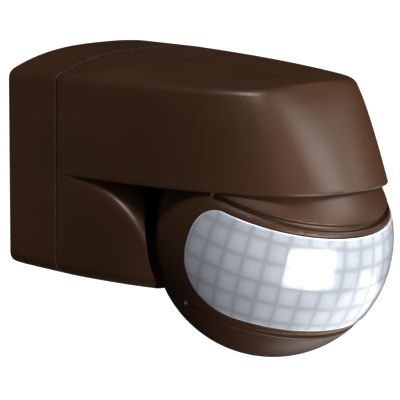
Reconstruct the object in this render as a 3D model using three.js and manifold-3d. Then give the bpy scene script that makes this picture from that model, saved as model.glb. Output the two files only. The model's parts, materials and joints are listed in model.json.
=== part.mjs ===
// Wall-mounted outdoor motion sensor: a shallow wall base, a hooded front housing, and a ball-shaped
// sensor head that hangs from a swivel fork inside the hood, so that it can be panned and tilted.
// Millimetres. +Z is up, the wall is the plane y = 0 and the sensor looks along -Y, so a depth of d
// from the wall is y = -d. Z = 0 is the hood's lower rim.
import * as THREE from "three";
import { mergeVertices } from "three/addons/utils/BufferGeometryUtils.js";
import Module from "manifold-3d";

const wasm = await Module();
wasm.setup();

// ---------------------------------------------------------------- driving dimensions
const GAP = 0.3; // between pieces that touch
const WALL = 2.4; // thickness of the casings
const EDGE = 2.3; // radius of the casings' long outer edges
const JOIN = 22; // depth of the parting line between base and front housing

const BASE = { half: 37.2, taper: 0.3, bottom: -28.4, drop: 0.6, top: 29, plate: 3 };
const CROWN = { rise: 6, power: 2.6, half: 37.5 }; // arched top and bottom, full on the centre line
const HOOD_TOP = { half: 37.5, start: 18, end: 95, round: 4.5, full: 1.333, top: 29 };
const HOOD_RIM = { half: 37.5, start: 18, end: 110, round: 2.86, full: 2.555 };
const HOOD_FALL = 1.5; // how late the arch of the hood's top falls away towards the nose
const HOOD_CREST_STOP = 1; // the arch ends this far behind the nose
const HOOD_BULGE = 0.75; // below 1, the hood's front swells out on its way down to the rim
const NECK = { half: 37.5, length: 39, reach: 54, bottom: -29, top: 0.6, shoulder: 3.2 };

const HEAD = { radius: 35.4, lens: 35.7, wall: 2.4, depth: 76, height: -17, pitch: 18.5 };
const ENTRY = { rear: 8.2, z: -12, bottom: 5.2, y: -10.5 }; // radii and places of the cable entries
const SOCKET = { radius: 36.2, wall: 3, inNeck: 38.6, lift: 1.5 }; // hollow in the housing that the head turns in
const SEAM = 21.4; // the head's back cover starts this far behind the head's centre
const WINDOW = { north: 25.5, south: -24.5, end: 92, widest: 8 }; // lens outline, degrees on the ball
const GROOVE = { latitude: 29.4, width: 1.5, depth: 1 };
const STEM = { radius: 5.5, bore: 3.2, top: 25.3 };
const FORK = { half: 19, arm: 2.5, width: 10, top: 22.5, foot: 5 };
const WEB = { inner: 22, outer: 24.5 }; // plates in the head that carry its tilt pins
const DIAL = { radius: 5.2, thick: 2.2, low: -31.8, x: 8, y: 2 };
const BOARD_TOP = -19.2; // upper face of the sensor board in the head

// ---------------------------------------------------------------- materials
const plastic = (color, roughness = 0.5) =>
  new THREE.MeshStandardMaterial({ color, roughness, metalness: 0 });
const metal = (color, roughness = 0.35) =>
  new THREE.MeshStandardMaterial({ color, roughness, metalness: 1 });
const BROWN = plastic(0x3f2a20, 0.45);
const MILKY = plastic(0xc9ced6, 0.2);
const BLACK = plastic(0x1c1c1c, 0.55);
const RUBBER = plastic(0x26221f, 0.9);
const BOARD = plastic(0x1f5a38, 0.5);
const GREY = plastic(0x8b8f92, 0.5);
const ORANGE = plastic(0xd9822b, 0.5);
const BLUE = plastic(0x1d2f6b, 0.4);
const STEEL = metal(0xb8bcc0);
const BRASS = metal(0xb89a55);
const CLEAR_RED = plastic(0xb02020, 0.2);

// ---------------------------------------------------------------- solids
const solidOf = (geometry) => {
  const bare = geometry.clone();
  bare.deleteAttribute("normal");
  bare.deleteAttribute("uv");
  const merged = mergeVertices(bare, 1e-4);
  const corners = [...merged.index.array];
  const whole = corners.filter((_, i) => {
    const [a, b, c] = corners.slice(i - (i % 3), i - (i % 3) + 3);
    return a !== b && b !== c && c !== a;
  });
  return new wasm.Manifold(
    new wasm.Mesh({
      numProp: 3,
      vertProperties: merged.attributes.position.array,
      triVerts: new Uint32Array(whole),
    }),
  );
};
const geometryOf = (solid) => {
  const mesh = solid.getMesh();
  const geometry = new THREE.BufferGeometry();
  geometry.setAttribute("position", new THREE.BufferAttribute(mesh.vertProperties, 3));
  geometry.setIndex(new THREE.BufferAttribute(mesh.triVerts, 1));
  return geometry;
};
const join = (first, ...others) => others.reduce((all, one) => all.add(one), first);
const cut = (first, ...others) => others.reduce((left, one) => left.subtract(one), first);

// A block between two corners.
const block = (low, high) => {
  const size = high.map((v, i) => v - low[i]);
  const centre = high.map((v, i) => (v + low[i]) / 2);
  return solidOf(new THREE.BoxGeometry(...size).translate(...centre));
};
// A round bar of a radius along "x", "y" or "z" between two coordinates, through a point on its axis.
const bar = (axis, radius, from, to, [a, b] = [0, 0], sides = 20) => {
  const g = new THREE.CylinderGeometry(radius, radius, to - from, sides);
  const middle = (from + to) / 2;
  if (axis === "x") g.rotateZ(Math.PI / 2).translate(middle, a, b);
  if (axis === "y") g.translate(a, middle, b);
  if (axis === "z") g.rotateX(Math.PI / 2).translate(a, b, middle);
  return solidOf(g);
};
const tube = (axis, outer, inner, from, to, at, sides = 20) =>
  cut(bar(axis, outer, from, to, at, sides), bar(axis, inner, from - 1, to + 1, at, sides));
const ball = (radius, across = 30) =>
  solidOf(new THREE.SphereGeometry(radius, across, across / 2).rotateX(Math.PI / 2));

// A closed skin through rings of points that all have the same count, with flat-ish ends. A last
// ring that is folded flat closes the skin in an edge instead.
// Ends are filled as seen along `look`, an index of the axis that they face.
const skin = (rings, look = 1) => {
  const count = rings[0].length;
  const index = [];
  for (let r = 0; r + 1 < rings.length; r++) {
    for (let i = 0; i < count; i++) {
      const a = r * count + i;
      const b = r * count + ((i + 1) % count);
      index.push(a, b, b + count, a, b + count, a + count);
    }
  }
  const keep = [0, 1, 2].filter((axis) => axis !== look);
  const fill = (ring, start, flip) => {
    const flat = ring.map((p) => new THREE.Vector2(p[keep[0]], p[keep[1]]));
    if (Math.abs(THREE.ShapeUtils.area(flat)) < 1e-6) return;
    const turn = Math.sign(THREE.ShapeUtils.area(flat));
    for (const [a, b, c] of THREE.ShapeUtils.triangulateShape([...flat], [])) {
      const same = Math.sign(THREE.ShapeUtils.area([flat[a], flat[b], flat[c]])) === turn;
      index.push(start + a, ...(same === flip ? [start + c, start + b] : [start + b, start + c]));
    }
  };
  fill(rings[0], 0, true);
  fill(rings.at(-1), (rings.length - 1) * count, false);
  const make = (order) => {
    const g = new THREE.BufferGeometry();
    g.setAttribute("position", new THREE.Float32BufferAttribute(rings.flat(2), 3));
    g.setIndex(order);
    return solidOf(g);
  };
  const made = make(index);
  if (made.volume() > 0) return made;
  return make(index.map((_, i) => index[i - (i % 3) + 2 - (i % 3)]));
};

// ---------------------------------------------------------------- casing sections
const lerp = (a, b, t) => a + (b - a) * t;
const curve = (a, corner, b, t) =>
  a.map((v, i) => (1 - t) ** 2 * v + 2 * t * (1 - t) * corner[i] + t * t * b[i]);
const crown = (x, half, rise = CROWN.rise) => rise * (1 - Math.abs(x / half) ** CROWN.power);

// Cross-section [x, z] of a box with an arched top and bottom and rounded long edges, as a ring.
function archedSection(half, bottom, top, edge, rises, lowEdge = edge) {
  const steps = 4;
  const [above, below] = rises;
  const right = [];
  for (let i = 0; i <= steps; i++) {
    const x = ((half - edge) * i) / steps;
    right.push([x, top + crown(x, half, above)]);
  }
  const shoulder = right.at(-1);
  for (const t of [0.35, 0.7, 1]) right.push(curve(shoulder, [half, top], [half, top - edge], t));
  const hip = [half, bottom + lowEdge];
  const foot = [half - lowEdge, bottom - crown(half - lowEdge, half, below)];
  right.push(hip);
  for (const t of [0.35, 0.7]) right.push(curve(hip, [half, bottom], foot, t));
  for (let i = steps; i >= 0; i--) {
    const x = ((half - lowEdge) * i) / steps;
    right.push([x, bottom - crown(x, half, below)]);
  }
  const left = right.slice(1, -1).reverse().map(([x, z]) => [-x, z]);
  return [...right, ...left];
}
const sectionAt = (depth, section) => section.map(([x, z]) => [x, -depth, z]);

// One side of a hood outline as [half-width, depth], evenly spaced from the parting line to the nose.
function hoodSide({ half, start, end, round, full }, inset, count, from = JOIN) {
  const tip = 0.02;
  const reach = end - inset - start;
  const fine = [];
  for (let i = 0; i <= 600; i++) {
    const u = 1 - (1 - i / 600) ** 3;
    const width = Math.max(1 - u ** full, 0) ** (1 / round);
    const depth = start + u * reach;
    if (depth >= from && width > tip) fine.push([(half - inset) * width, depth]);
  }
  fine.push([0, end - inset]);
  const along = [0];
  for (let i = 1; i < fine.length; i++) {
    along.push(along[i - 1] + Math.hypot(fine[i][0] - fine[i - 1][0], fine[i][1] - fine[i - 1][1]));
  }
  const even = [];
  for (let k = 0; k <= count; k++) {
    const target = (along.at(-1) * k) / count;
    const j = Math.max(1, along.findIndex((s) => s >= target - 1e-9));
    const t = (target - along[j - 1]) / (along[j] - along[j - 1]);
    even.push([lerp(fine[j - 1][0], fine[j][0], t), lerp(fine[j - 1][1], fine[j][1], t)]);
  }
  return even;
}

// Rise of the hood's arched top at a depth: full at the back, none at the nose.
function hoodRise(depth, inset) {
  const run = (depth - HOOD_TOP.start) / (HOOD_TOP.end - inset - HOOD_CREST_STOP - HOOD_TOP.start);
  return CROWN.rise * Math.sqrt(1 - Math.min(Math.max(run, 0), 1) ** HOOD_FALL);
}

// The hood as a solid, taken in by `inset` all round, from its crowned top down to height `low`.
function hood(inset, low, from, count) {
  const top = hoodSide(HOOD_TOP, inset, count, from);
  const rim = hoodSide(HOOD_RIM, inset, count, from);
  const crest = HOOD_TOP.top - inset;
  const edge = Math.max(EDGE - inset, 0.6);
  const rings = top.map(([x, depth], i) => {
    const [ax, ad] = top[Math.max(i - 1, 0)];
    const [bx, bd] = top[Math.min(i + 1, count)];
    const long = Math.hypot(bx - ax, bd - ad);
    const normal = i === 0 ? [1, 0] : [(bd - ad) / long, (ax - bx) / long];
    const inX = Math.max(x - edge * normal[0], 0);
    const inDepth = depth - edge * normal[1];
    const right = [];
    const rise = hoodRise(inDepth, inset);
    for (const g of [0, 0.25, 0.5, 0.75, 1]) {
      right.push([g * inX, -inDepth, crest + crown(g * inX, Math.max(x, inX + 0.1), rise)]);
    }
    const shoulder = right.at(-1);
    const below = [x, -depth, crest - edge];
    for (const t of [0.4, 0.75, 1]) right.push(curve(shoulder, [x, -depth, crest], below, t));
    for (const t of [0.33, 0.66, 1]) {
      const share = t ** HOOD_BULGE;
      const side = [lerp(x, rim[i][0], share), -lerp(depth, rim[i][1], share)];
      right.push([...side, lerp(crest - edge, low, t)]);
    }
    const left = right.slice(1).reverse().map(([px, py, pz]) => [-px, py, pz]);
    return [...right, ...left];
  });
  return skin(rings);
}

// The lower body that carries the hood and wraps the back of the head, taken in by `inset`.
function neck(inset, from = JOIN) {
  const rings = [];
  const count = 7;
  for (let i = 0; i <= count; i++) {
    const u = 0.988 * Math.sin((i / count) * Math.PI * 0.5);
    const depth = i === 0 ? from : JOIN + u * (NECK.length - inset);
    const side = (u * NECK.length) / NECK.reach;
    const half = NECK.half * (1 - side ** 2.6) ** 0.25 - inset;
    const bottom = NECK.bottom + inset;
    const tall = (NECK.top - NECK.bottom) * (1 - u ** 2.6) ** 0.55 - 2 * inset;
    const top = bottom + Math.max(tall, 1.2);
    const round = Math.min(lerp(2, NECK.shoulder, Math.min(u / 0.5, 1)), (top - bottom) * 0.45);
    const low = Math.min(EDGE, (top - bottom) * 0.45);
    const rises = [0, (CROWN.rise * (half + inset)) / NECK.half];
    rings.push(sectionAt(depth, archedSection(half, bottom, top, round, rises, low)));
  }
  return skin(rings);
}

const headSpot = [0, -HEAD.depth, HEAD.height];
const atHead = (solid) => solid.translate(headSpot);
// The neck stands further off the head than the hood does, most of all above.
const neckSocket = (wall, across) =>
  atHead(ball(SOCKET.inNeck + wall, across)).translate([0, 0, SOCKET.lift]);

// ---------------------------------------------------------------- fixed casings
function basePart(inset, from, to) {
  const at = (depth) => {
    const t = depth / JOIN;
    const half = BASE.half + BASE.taper * t - inset;
    const bottom = BASE.bottom - BASE.drop * t + inset;
    const edge = Math.max(EDGE - inset, 0.6);
    const rises = [CROWN.rise, CROWN.rise];
    return sectionAt(depth, archedSection(half, bottom, BASE.top - inset, edge, rises));
  };
  return skin([at(from), at(to)]);
}

function wallBase() {
  const shell = cut(basePart(0, 0, JOIN - GAP / 2), basePart(WALL, BASE.plate, JOIN + 5));
  const ledge = cut(basePart(WALL - 0.2, 17.5, 20.2), basePart(5.2, 16, 26));
  const lip = cut(basePart(3.9, 20, 25), basePart(5.2, 19, 26));
  const lug = join(block([-6, -34.3, -27.8], [6, -17.5, -23]), block([-6, -20.1, -31], [6, -17.5, -23]));
  const sealGroove = cut(basePart(2.7, -1, 1.3), basePart(5.8, -2, 2));
  const slots = [-30, 30].map((x) => block([x - 2.25, -5, -4.5], [x + 2.25, 1, 4.5]));
  return cut(
    join(shell, ledge, lip, lug),
    sealGroove,
    ...slots,
    bar("y", ENTRY.rear + 0.4, -6, 1, [0, ENTRY.z]),
    bar("y", ENTRY.rear + 1.6, -1.7, 1, [0, ENTRY.z]),
    bar("z", ENTRY.bottom + 0.4, -38, -30, [0, ENTRY.y]),
    bar("z", 1.5, -29, -22, [0, -30], 16),
  );
}

const wallSeal = () => cut(basePart(3, 0.1, 1), basePart(5.5, -1, 2));
const housingGasket = () => cut(basePart(3.05, 20.5, 24), basePart(3.6, 19, 26));

// A cable grommet with a dished rubber membrane, whose outer flange is on the +Y side of the wall
// that sits in its slot.
function grommet(radius, slot) {
  const flange = 1.4;
  const outer = flange + slot;
  const profile = [
    [0, -0.8],
    [radius * 0.5, -0.8],
    [radius * 0.7, 0],
    [radius + 1, 0],
    [radius + 1, flange],
    [radius, flange],
    [radius, outer],
    [radius + 1, outer],
    [radius + 1, outer + 1.2],
    [radius * 0.7, outer + 1.2],
    [radius * 0.7, flange],
    [radius * 0.4, 0.4],
    [0, 0.4],
  ].map(([x, y]) => new THREE.Vector2(x, y));
  return new THREE.LatheGeometry(profile, 16);
}

const BOARD_HOLES = [
  [-27, -13],
  [27, -13],
];
function frontHousing() {
  const outside = join(
    hood(0, 0, JOIN + GAP / 2, 16),
    cut(neck(0, JOIN + GAP / 2), neckSocket(0, 30)),
  );
  const loft = hood(WALL, 2, JOIN - 1, 8);
  const cellar = neck(WALL, JOIN - 1);
  const passage = block([-35, -36, -6], [35, -21, 4]);
  const hollow = join(
    cut(loft, atHead(ball(SOCKET.radius + SOCKET.wall, 20))),
    cut(join(cellar, passage), neckSocket(SOCKET.wall, 20)),
  );
  const screwBoss = bar("z", 5, -34, -28.5, [0, -30]);
  const deck = bar("z", 10, 17, 22, [0, -HEAD.depth]);
  const boardPosts = BOARD_HOLES.map(([x, z]) => bar("y", 3, -46, -28.9, [x, z], 16));
  return cut(
    join(cut(outside, hollow), screwBoss, deck, ...boardPosts),
    atHead(ball(SOCKET.radius)),
    bar("z", STEM.radius + GAP, 10, 24, [0, -HEAD.depth]),
    bar("z", 3.1, -37, -31.3, [0, -30]),
    bar("z", 1.7, -37, -27, [0, -30], 16),
    ...BOARD_HOLES.map(([x, z]) => bar("y", 1.5, -40, -28, [x, z], 16)),
  );
}

// ---------------------------------------------------------------- fixed internals
function screw(headRadius, shankRadius, headHeight, length, sides = 12) {
  const body = join(
    bar("z", headRadius, -headHeight, 0, [0, 0], sides),
    bar("z", shankRadius, -0.2, length, [0, 0], sides),
  );
  const slot = block([-headRadius, -0.4, -headHeight - 1], [headRadius, 0.4, -headHeight + 0.7]);
  return cut(body, slot);
}

const TERMINALS = [-9, 0, 9];
function terminalBlock() {
  const body = block([-15, -15.5, 5], [15, -3.3, 18]);
  const screwHoles = TERMINALS.map((x) => bar("y", 2.4, -17, -6, [x, 13], 16));
  const wireHoles = TERMINALS.map((x) => bar("z", 1.9, 4, 11, [x, -9], 16));
  return cut(body, ...screwHoles, ...wireHoles);
}

function powerBoard() {
  const board = block([-30, -28.6, -19], [30, -27, 26]);
  return cut(board, ...BOARD_HOLES.map(([x, z]) => bar("y", 1.6, -30, -26, [x, z], 16)));
}

const relay = () => block([-25, -44, 6], [-5, -28.9, 17]);

// A round lead along a smooth line through points.
function lead(points, radius, steps) {
  const path = new THREE.CatmullRomCurve3(points.map((p) => new THREE.Vector3(...p)));
  const shape = new THREE.Shape();
  shape.absarc(0, 0, radius, 0, Math.PI * 2);
  return new THREE.ExtrudeGeometry(shape, { steps, extrudePath: path, curveSegments: 4 });
}

// ---------------------------------------------------------------- swivel that carries the head
function swivelFork() {
  const { half, arm, width, top, foot } = FORK;
  const z = (local) => HEAD.height + local;
  const yLow = -HEAD.depth - width / 2;
  const yHigh = yLow + width;
  const bridge = block([-half, yLow, z(top - 4)], [half, yHigh, z(top)]);
  const arms = [-1, 1].map((side) => {
    const xs = [side * half, side * (half - arm)].sort((a, b) => a - b);
    return block([xs[0], yLow, z(-foot)], [xs[1], yHigh, z(top - 1)]);
  });
  const stem = bar("z", STEM.radius, z(top - 2), STEM.top, [0, -HEAD.depth]);
  const clipGroove = tube("z", STEM.radius + 1, 4.8, 23, 24.4, [0, -HEAD.depth]);
  return cut(
    join(bridge, ...arms, stem),
    clipGroove,
    bar("z", STEM.bore, z(top - 6), STEM.top + 1, [0, -HEAD.depth]),
    bar("x", 2.25, -half - 1, half + 1, [-HEAD.depth, HEAD.height], 16),
  );
}

function retainingClip() {
  const ring = tube("z", 8.8, 5.1, 23.2, 24.2, [0, -HEAD.depth]);
  return cut(ring, block([-3.2, -HEAD.depth, 22], [3.2, -HEAD.depth + 12, 26]));
}

// ---------------------------------------------------------------- head, in its own frame
// Here the ball's centre is the origin, -Y is where the lens looks and +Z is the head's own up.
const onBall = (radius, latitude, longitude) => {
  const [lat, lon] = [latitude, longitude].map(THREE.MathUtils.degToRad);
  const flat = radius * Math.cos(lat);
  return [flat * Math.sin(lon), -flat * Math.cos(lon), radius * Math.sin(lat)];
};

// Longitude where the lens window ends at a latitude: widest a little above the middle.
function windowEnd(latitude, grow) {
  const above = latitude > WINDOW.widest;
  const span = above ? WINDOW.north - WINDOW.widest : WINDOW.widest - WINDOW.south;
  const share = Math.min(Math.abs(latitude - WINDOW.widest) / span, 1);
  const tuck = above ? 13 * share ** 2.6 : 25 * share ** 2.4;
  return WINDOW.end + grow - tuck;
}

// Everything seen from the ball's centre through the window, between two radii.
function windowCone(grow, inner, outer) {
  const [rows, columns] = [6, 16];
  const face = (radius) => {
    const rowsOfPoints = [];
    for (let r = 0; r <= rows; r++) {
      const share = 0.5 - 0.5 * Math.cos((Math.PI * r) / rows);
      const inside = lerp(WINDOW.south, WINDOW.north, share);
      const latitude = lerp(WINDOW.south - grow, WINDOW.north + grow, share);
      const end = windowEnd(inside, grow);
      const row = [];
      for (let c = 0; c <= columns; c++) {
        row.push(onBall(radius, latitude, lerp(-end, end, c / columns)));
      }
      rowsOfPoints.push(row);
    }
    return rowsOfPoints;
  };
  const rings = face(inner).map((row, r) => [...row, ...face(outer)[r].reverse()]);
  return skin(rings, 2);
}

// A groove round the front half of the ball at a latitude.
function grooveTool(latitude) {
  const steps = 16;
  const half = THREE.MathUtils.radToDeg(GROOVE.width / 2 / HEAD.radius);
  const rings = [];
  for (let i = 0; i <= steps; i++) {
    const lon = lerp(-90, 90, i / steps);
    const low = HEAD.radius - GROOVE.depth;
    const high = HEAD.radius + 2;
    rings.push([
      onBall(low, latitude - half, lon),
      onBall(high, latitude - half, lon),
      onBall(high, latitude + half, lon),
      onBall(low, latitude + half, lon),
    ]);
  }
  return skin(rings);
}

// The slot over the top of the head that lets the fork's stem pass as the head tilts.
function stemSlot() {
  const [front, back, half] = [-12, 62, STEM.radius + 0.9];
  const shape = new THREE.Shape();
  const angle = (degrees) => THREE.MathUtils.degToRad(90 - degrees);
  shape.absarc(0, 0, HEAD.radius + 3, angle(front), angle(back), true);
  shape.absarc(0, 0, HEAD.radius - 6, angle(back), angle(front), false);
  const options = { depth: 2 * half, bevelEnabled: false, curveSegments: 10 };
  const slab = new THREE.ExtrudeGeometry(shape, options).translate(0, 0, -half);
  return solidOf(slab.rotateX(Math.PI / 2).rotateZ(Math.PI / 2));
}

const headSkin = () => cut(ball(HEAD.radius), ball(HEAD.radius - HEAD.wall, 20));
const FAR = 60;
const inFront = (solid, limit) => cut(solid, block([-FAR, limit, -FAR], [FAR, FAR, FAR]));

function headShell() {
  const inside = ball(HEAD.radius - 1);
  const webs = [-1, 1].map((side) => {
    const xs = [side * WEB.inner, side * WEB.outer].sort((a, b) => a - b);
    return block([xs[0], -5, -40], [xs[1], 12, 40]).intersect(inside);
  });
  const dialBosses = [-DIAL.x, DIAL.x].map((x) =>
    bar("z", 7.2, -36, -27.6, [x, DIAL.y]).intersect(inside),
  );
  const posts = [-15, 15].map((x) => bar("z", 2.6, -36, -21.1, [x, -10], 16).intersect(inside));
  const dialPockets = [-DIAL.x, DIAL.x].map((x) => bar("z", 5.6, -40, -29.2, [x, DIAL.y]));
  const dialHoles = [-DIAL.x, DIAL.x].map((x) => bar("z", 1.7, -40, -25, [x, DIAL.y], 16));
  const postHoles = [-15, 15].map((x) => bar("z", 1.1, -27, -20, [x, -10], 12));
  return cut(
    join(inFront(headSkin(), SEAM), ...webs, ...dialBosses, ...posts),
    windowCone(0, HEAD.radius - 6, HEAD.radius + 4),
    grooveTool(GROOVE.latitude),
    grooveTool(-GROOVE.latitude),
    stemSlot(),
    ...dialPockets,
    ...dialHoles,
    ...postHoles,
    bar("x", 2.25, -30, 30, [0, 0], 16),
  );
}

function headBackCover() {
  const cap = cut(headSkin(), block([-FAR, -FAR, -FAR], [FAR, SEAM + GAP, FAR]));
  const ring = tube("y", 23.8, 22.4, SEAM - 1.6, SEAM + 3, [0, 0], 28);
  const lip = ring.intersect(ball(HEAD.radius - HEAD.wall + 0.6));
  return cut(join(cap, lip), stemSlot());
}

// Fresnel lens: a thin curved window with an inner flange that holds it behind the opening.
function lens() {
  const under = HEAD.radius - HEAD.wall - 1.1;
  const plug = windowCone(-0.7, under - 1, HEAD.lens);
  const flange = windowCone(3, under - 1, under);
  return cut(join(plug, flange), windowCone(-2.4, under - 3, HEAD.lens - 1.1));
}

function tiltPin(side) {
  const ends = [16, WEB.outer + 0.3].map((v) => side * v).sort((a, b) => a - b);
  const headEnds = [WEB.outer + 0.3, WEB.outer + 2].map((v) => side * v).sort((a, b) => a - b);
  return join(bar("x", 2, ends[0], ends[1], [0, 0], 16), bar("x", 3.6, ...headEnds, [0, 0], 16));
}

function tiltWasher(side) {
  const ends = [FORK.half + GAP, WEB.inner - GAP].map((v) => side * v).sort((a, b) => a - b);
  return tube("x", 5, 2.5, ...ends, [0, 0], 20);
}

function sensorBoard() {
  const disc = bar("z", 24, BOARD_TOP - 1.6, BOARD_TOP, [0, 0], 36);
  const kept = disc.intersect(block([-20.5, -30, -30], [20.5, 15, 0]));
  return cut(kept, ...[-15, 15].map((x) => bar("z", 1.5, -22, -18, [x, -10], 12)));
}

// Block that holds three pyroelectric sensors: one ahead and one 56 degrees to each side.
const HOLDER = [[-5.5, -12], [5.5, -12], [10.5, -4.5], [10.5, -1.5], [-10.5, -1.5], [-10.5, -4.5]];
function sensorHolder() {
  const shape = new THREE.Shape(HOLDER.map(([x, y]) => new THREE.Vector2(x, y)));
  const height = 24;
  const made = new THREE.ExtrudeGeometry(shape, { depth: height, bevelEnabled: false });
  return solidOf(made.translate(0, 0, BOARD_TOP + GAP));
}

// A pyroelectric sensor in a round can with a recessed window, looking along +Y of its own frame.
function sensorCan() {
  const profile = [[0, 0], [4.9, 0], [4.9, 0.8], [4.4, 0.8], [4.4, 3.8], [2.2, 3.8], [2.2, 3.5], [0, 3.5]];
  return new THREE.LatheGeometry(profile.map(([x, y]) => new THREE.Vector2(x, y)), 20);
}

const domeProfile = (radius, height) => {
  const points = [[0, 0], [radius, 0], [radius, height - radius]];
  for (const a of [30, 60, 90]) {
    const turn = THREE.MathUtils.degToRad(a);
    points.push([radius * Math.cos(turn), height - radius + radius * Math.sin(turn)]);
  }
  points[points.length - 1][0] = 0;
  return points.map(([x, y]) => new THREE.Vector2(x, y));
};
const dome = (radius, height) =>
  new THREE.LatheGeometry(domeProfile(radius, height), 16).rotateX(Math.PI / 2);

function trimmer(x) {
  const body = block([x - 3.5, DIAL.y - 3.5, -26.2], [x + 3.5, DIAL.y + 3.5, -21.1]);
  return cut(body, bar("z", 1.6, -27, -22.5, [x, DIAL.y], 12));
}

// A setting dial with a screwdriver slot and a pointer notch, on its own axis.
function dial() {
  const disc = bar("z", DIAL.radius, 0, DIAL.thick, [0, 0], 24);
  const spindle = bar("z", 1.3, DIAL.thick - 0.2, 8.4, [0, 0], 12);
  const slot = block([-3.2, -0.5, -1], [3.2, 0.5, 1]);
  const pointer = block([-0.4, -DIAL.radius - 1, -1], [0.4, -DIAL.radius + 1.2, 0.6]);
  return cut(join(disc, spindle), slot, pointer);
}

// ---------------------------------------------------------------- assembly
const sensor = new THREE.Group();
const head = new THREE.Group();
head.position.set(...headSpot);
head.rotation.x = THREE.MathUtils.degToRad(HEAD.pitch);
sensor.add(head);

const add = (group, name, shape, material, position = [0, 0, 0], rotation = [0, 0, 0]) => {
  const geometry = shape.isBufferGeometry ? shape : geometryOf(shape);
  const mesh = new THREE.Mesh(geometry, material);
  mesh.name = name;
  mesh.position.set(...position);
  mesh.rotation.set(...rotation);
  group.add(mesh);
};

add(sensor, "wall_base", wallBase(), BROWN);
add(sensor, "wall_seal", wallSeal(), RUBBER);
const downwards = [-Math.PI / 2, 0, 0];
add(sensor, "rear_cable_grommet", grommet(ENTRY.rear, 1.9), RUBBER, [0, -4.7, ENTRY.z]);
add(sensor, "bottom_cable_grommet", grommet(ENTRY.bottom, 3), RUBBER, [0, ENTRY.y, -30.6], downwards);
add(sensor, "housing_gasket", housingGasket(), RUBBER);
add(sensor, "front_housing", frontHousing(), BROWN);
add(sensor, "housing_screw", screw(2.8, 1.3, 1.9, 8.4), STEEL, [0, -30, -31.6]);
add(sensor, "terminal_block", terminalBlock(), GREY);
TERMINALS.forEach((x, i) => {
  const name = `terminal_screw_${i + 1}`;
  add(sensor, name, screw(2.1, 1.4, 1.6, 5), BRASS, [x, -13, 13], downwards);
});
add(sensor, "transfer_plug", block([-12, -26.7, 18.3], [12, -12, 22.3]), BLACK);
add(sensor, "power_board", powerBoard(), BOARD);
BOARD_HOLES.forEach(([x, z], i) => {
  const name = `power_board_screw_${i + 1}`;
  add(sensor, name, screw(2.6, 1.2, 1.6, 8), STEEL, [x, -26.7, z], [Math.PI / 2, 0, 0]);
});
add(sensor, "relay", relay(), BLUE);
add(sensor, "film_capacitor", block([0, -41, 17.5], [19, -28.9, 25]), ORANGE);
add(sensor, "smoothing_capacitor", bar("y", 5, -40, -28.9, [12, 9]), BLACK);
add(sensor, "varistor", bar("y", 4.5, -32, -28.9, [-16, -4]), BLUE);
add(sensor, "fuse", bar("x", 2.4, -8, 8, [-31.5, -14]), STEEL);
add(sensor, "head_plug", block([21, -35, 5], [29, -28.9, 11]), GREY);
const HOUSING_RUN = [
  [25, -35.9, 8],
  [25, -40, 9.5],
  [17, -50, 22],
  [8, -62, 26.6],
  [2, -72, 28.2],
  [0, -75.7, 28],
  [0, -76, 26.5],
];
add(sensor, "sensor_lead_in_housing", lead(HOUSING_RUN, 1.4, 14), BLACK);

add(sensor, "swivel_fork", swivelFork(), BLACK);
add(sensor, "retaining_clip", retainingClip(), STEEL);
add(sensor, "friction_washer", tube("z", 9.4, 6, 22.3, 22.9, [0, -HEAD.depth]), STEEL);
add(sensor, "sensor_lead_in_stem", bar("z", 1.4, -13, 25.6, [0, -HEAD.depth], 12), BLACK);

add(head, "head_shell", headShell(), BROWN);
add(head, "head_back_cover", headBackCover(), BROWN);
add(head, "lens", lens(), MILKY);
[["left", -1], ["right", 1]].forEach(([name, side]) => {
  add(head, `tilt_pin_${name}`, tiltPin(side), STEEL);
  add(head, `tilt_washer_${name}`, tiltWasher(side), STEEL);
});
add(head, "sensor_board", sensorBoard(), BOARD);
[-15, 15].forEach((x, i) => {
  const place = [x, -10, BOARD_TOP + GAP];
  add(head, `board_screw_${i + 1}`, screw(2.4, 0.8, 1.3, 4.6), STEEL, place, [Math.PI, 0, 0]);
});
add(head, "sensor_holder", sensorHolder(), BLACK);
const SIDE_TURN = Math.atan2(7.5, 5);
const FACES = [
  ["centre", [0, -12.3, 0], 0],
  ["left", [-8.25, -8.42, 0], -SIDE_TURN],
  ["right", [8.25, -8.42, 0], SIDE_TURN],
];
for (const [name, place, turn] of FACES) {
  add(head, `pyro_sensor_${name}`, sensorCan(), STEEL, place, [0, 0, Math.PI + turn]);
}
add(head, "light_sensor", dome(2.4, 4.5), BLACK, [-7, -18, BOARD_TOP + GAP]);
add(head, "status_lamp", dome(1.5, 5), CLEAR_RED, [7, -18, BOARD_TOP + GAP]);
add(head, "time_trimmer", trimmer(-DIAL.x), BLUE);
add(head, "light_trimmer", trimmer(DIAL.x), BLUE);
const HEAD_RUN = [[0, 0, 0.8], [0, 2, -5], [0, 5, -11], [0, 5.5, -18.8]];
add(head, "sensor_lead_in_head", lead(HEAD_RUN, 1.4, 10), BLACK);
add(head, "time_dial", dial(), BLACK, [-DIAL.x, DIAL.y, DIAL.low]);
add(head, "light_dial", dial(), BLACK, [DIAL.x, DIAL.y, DIAL.low]);

export default sensor;
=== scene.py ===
"""Looks of an outdoor motion sensor: brown casings, a ball head with a milky lens, and its dials.

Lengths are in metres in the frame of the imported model: the wall is the plane y = 0, the sensor looks
along -Y, and a depth d from the wall is y = -d.
"""

import json
import math

import bmesh
import bpy
import numpy as np
from mathutils import Matrix, Vector


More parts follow.
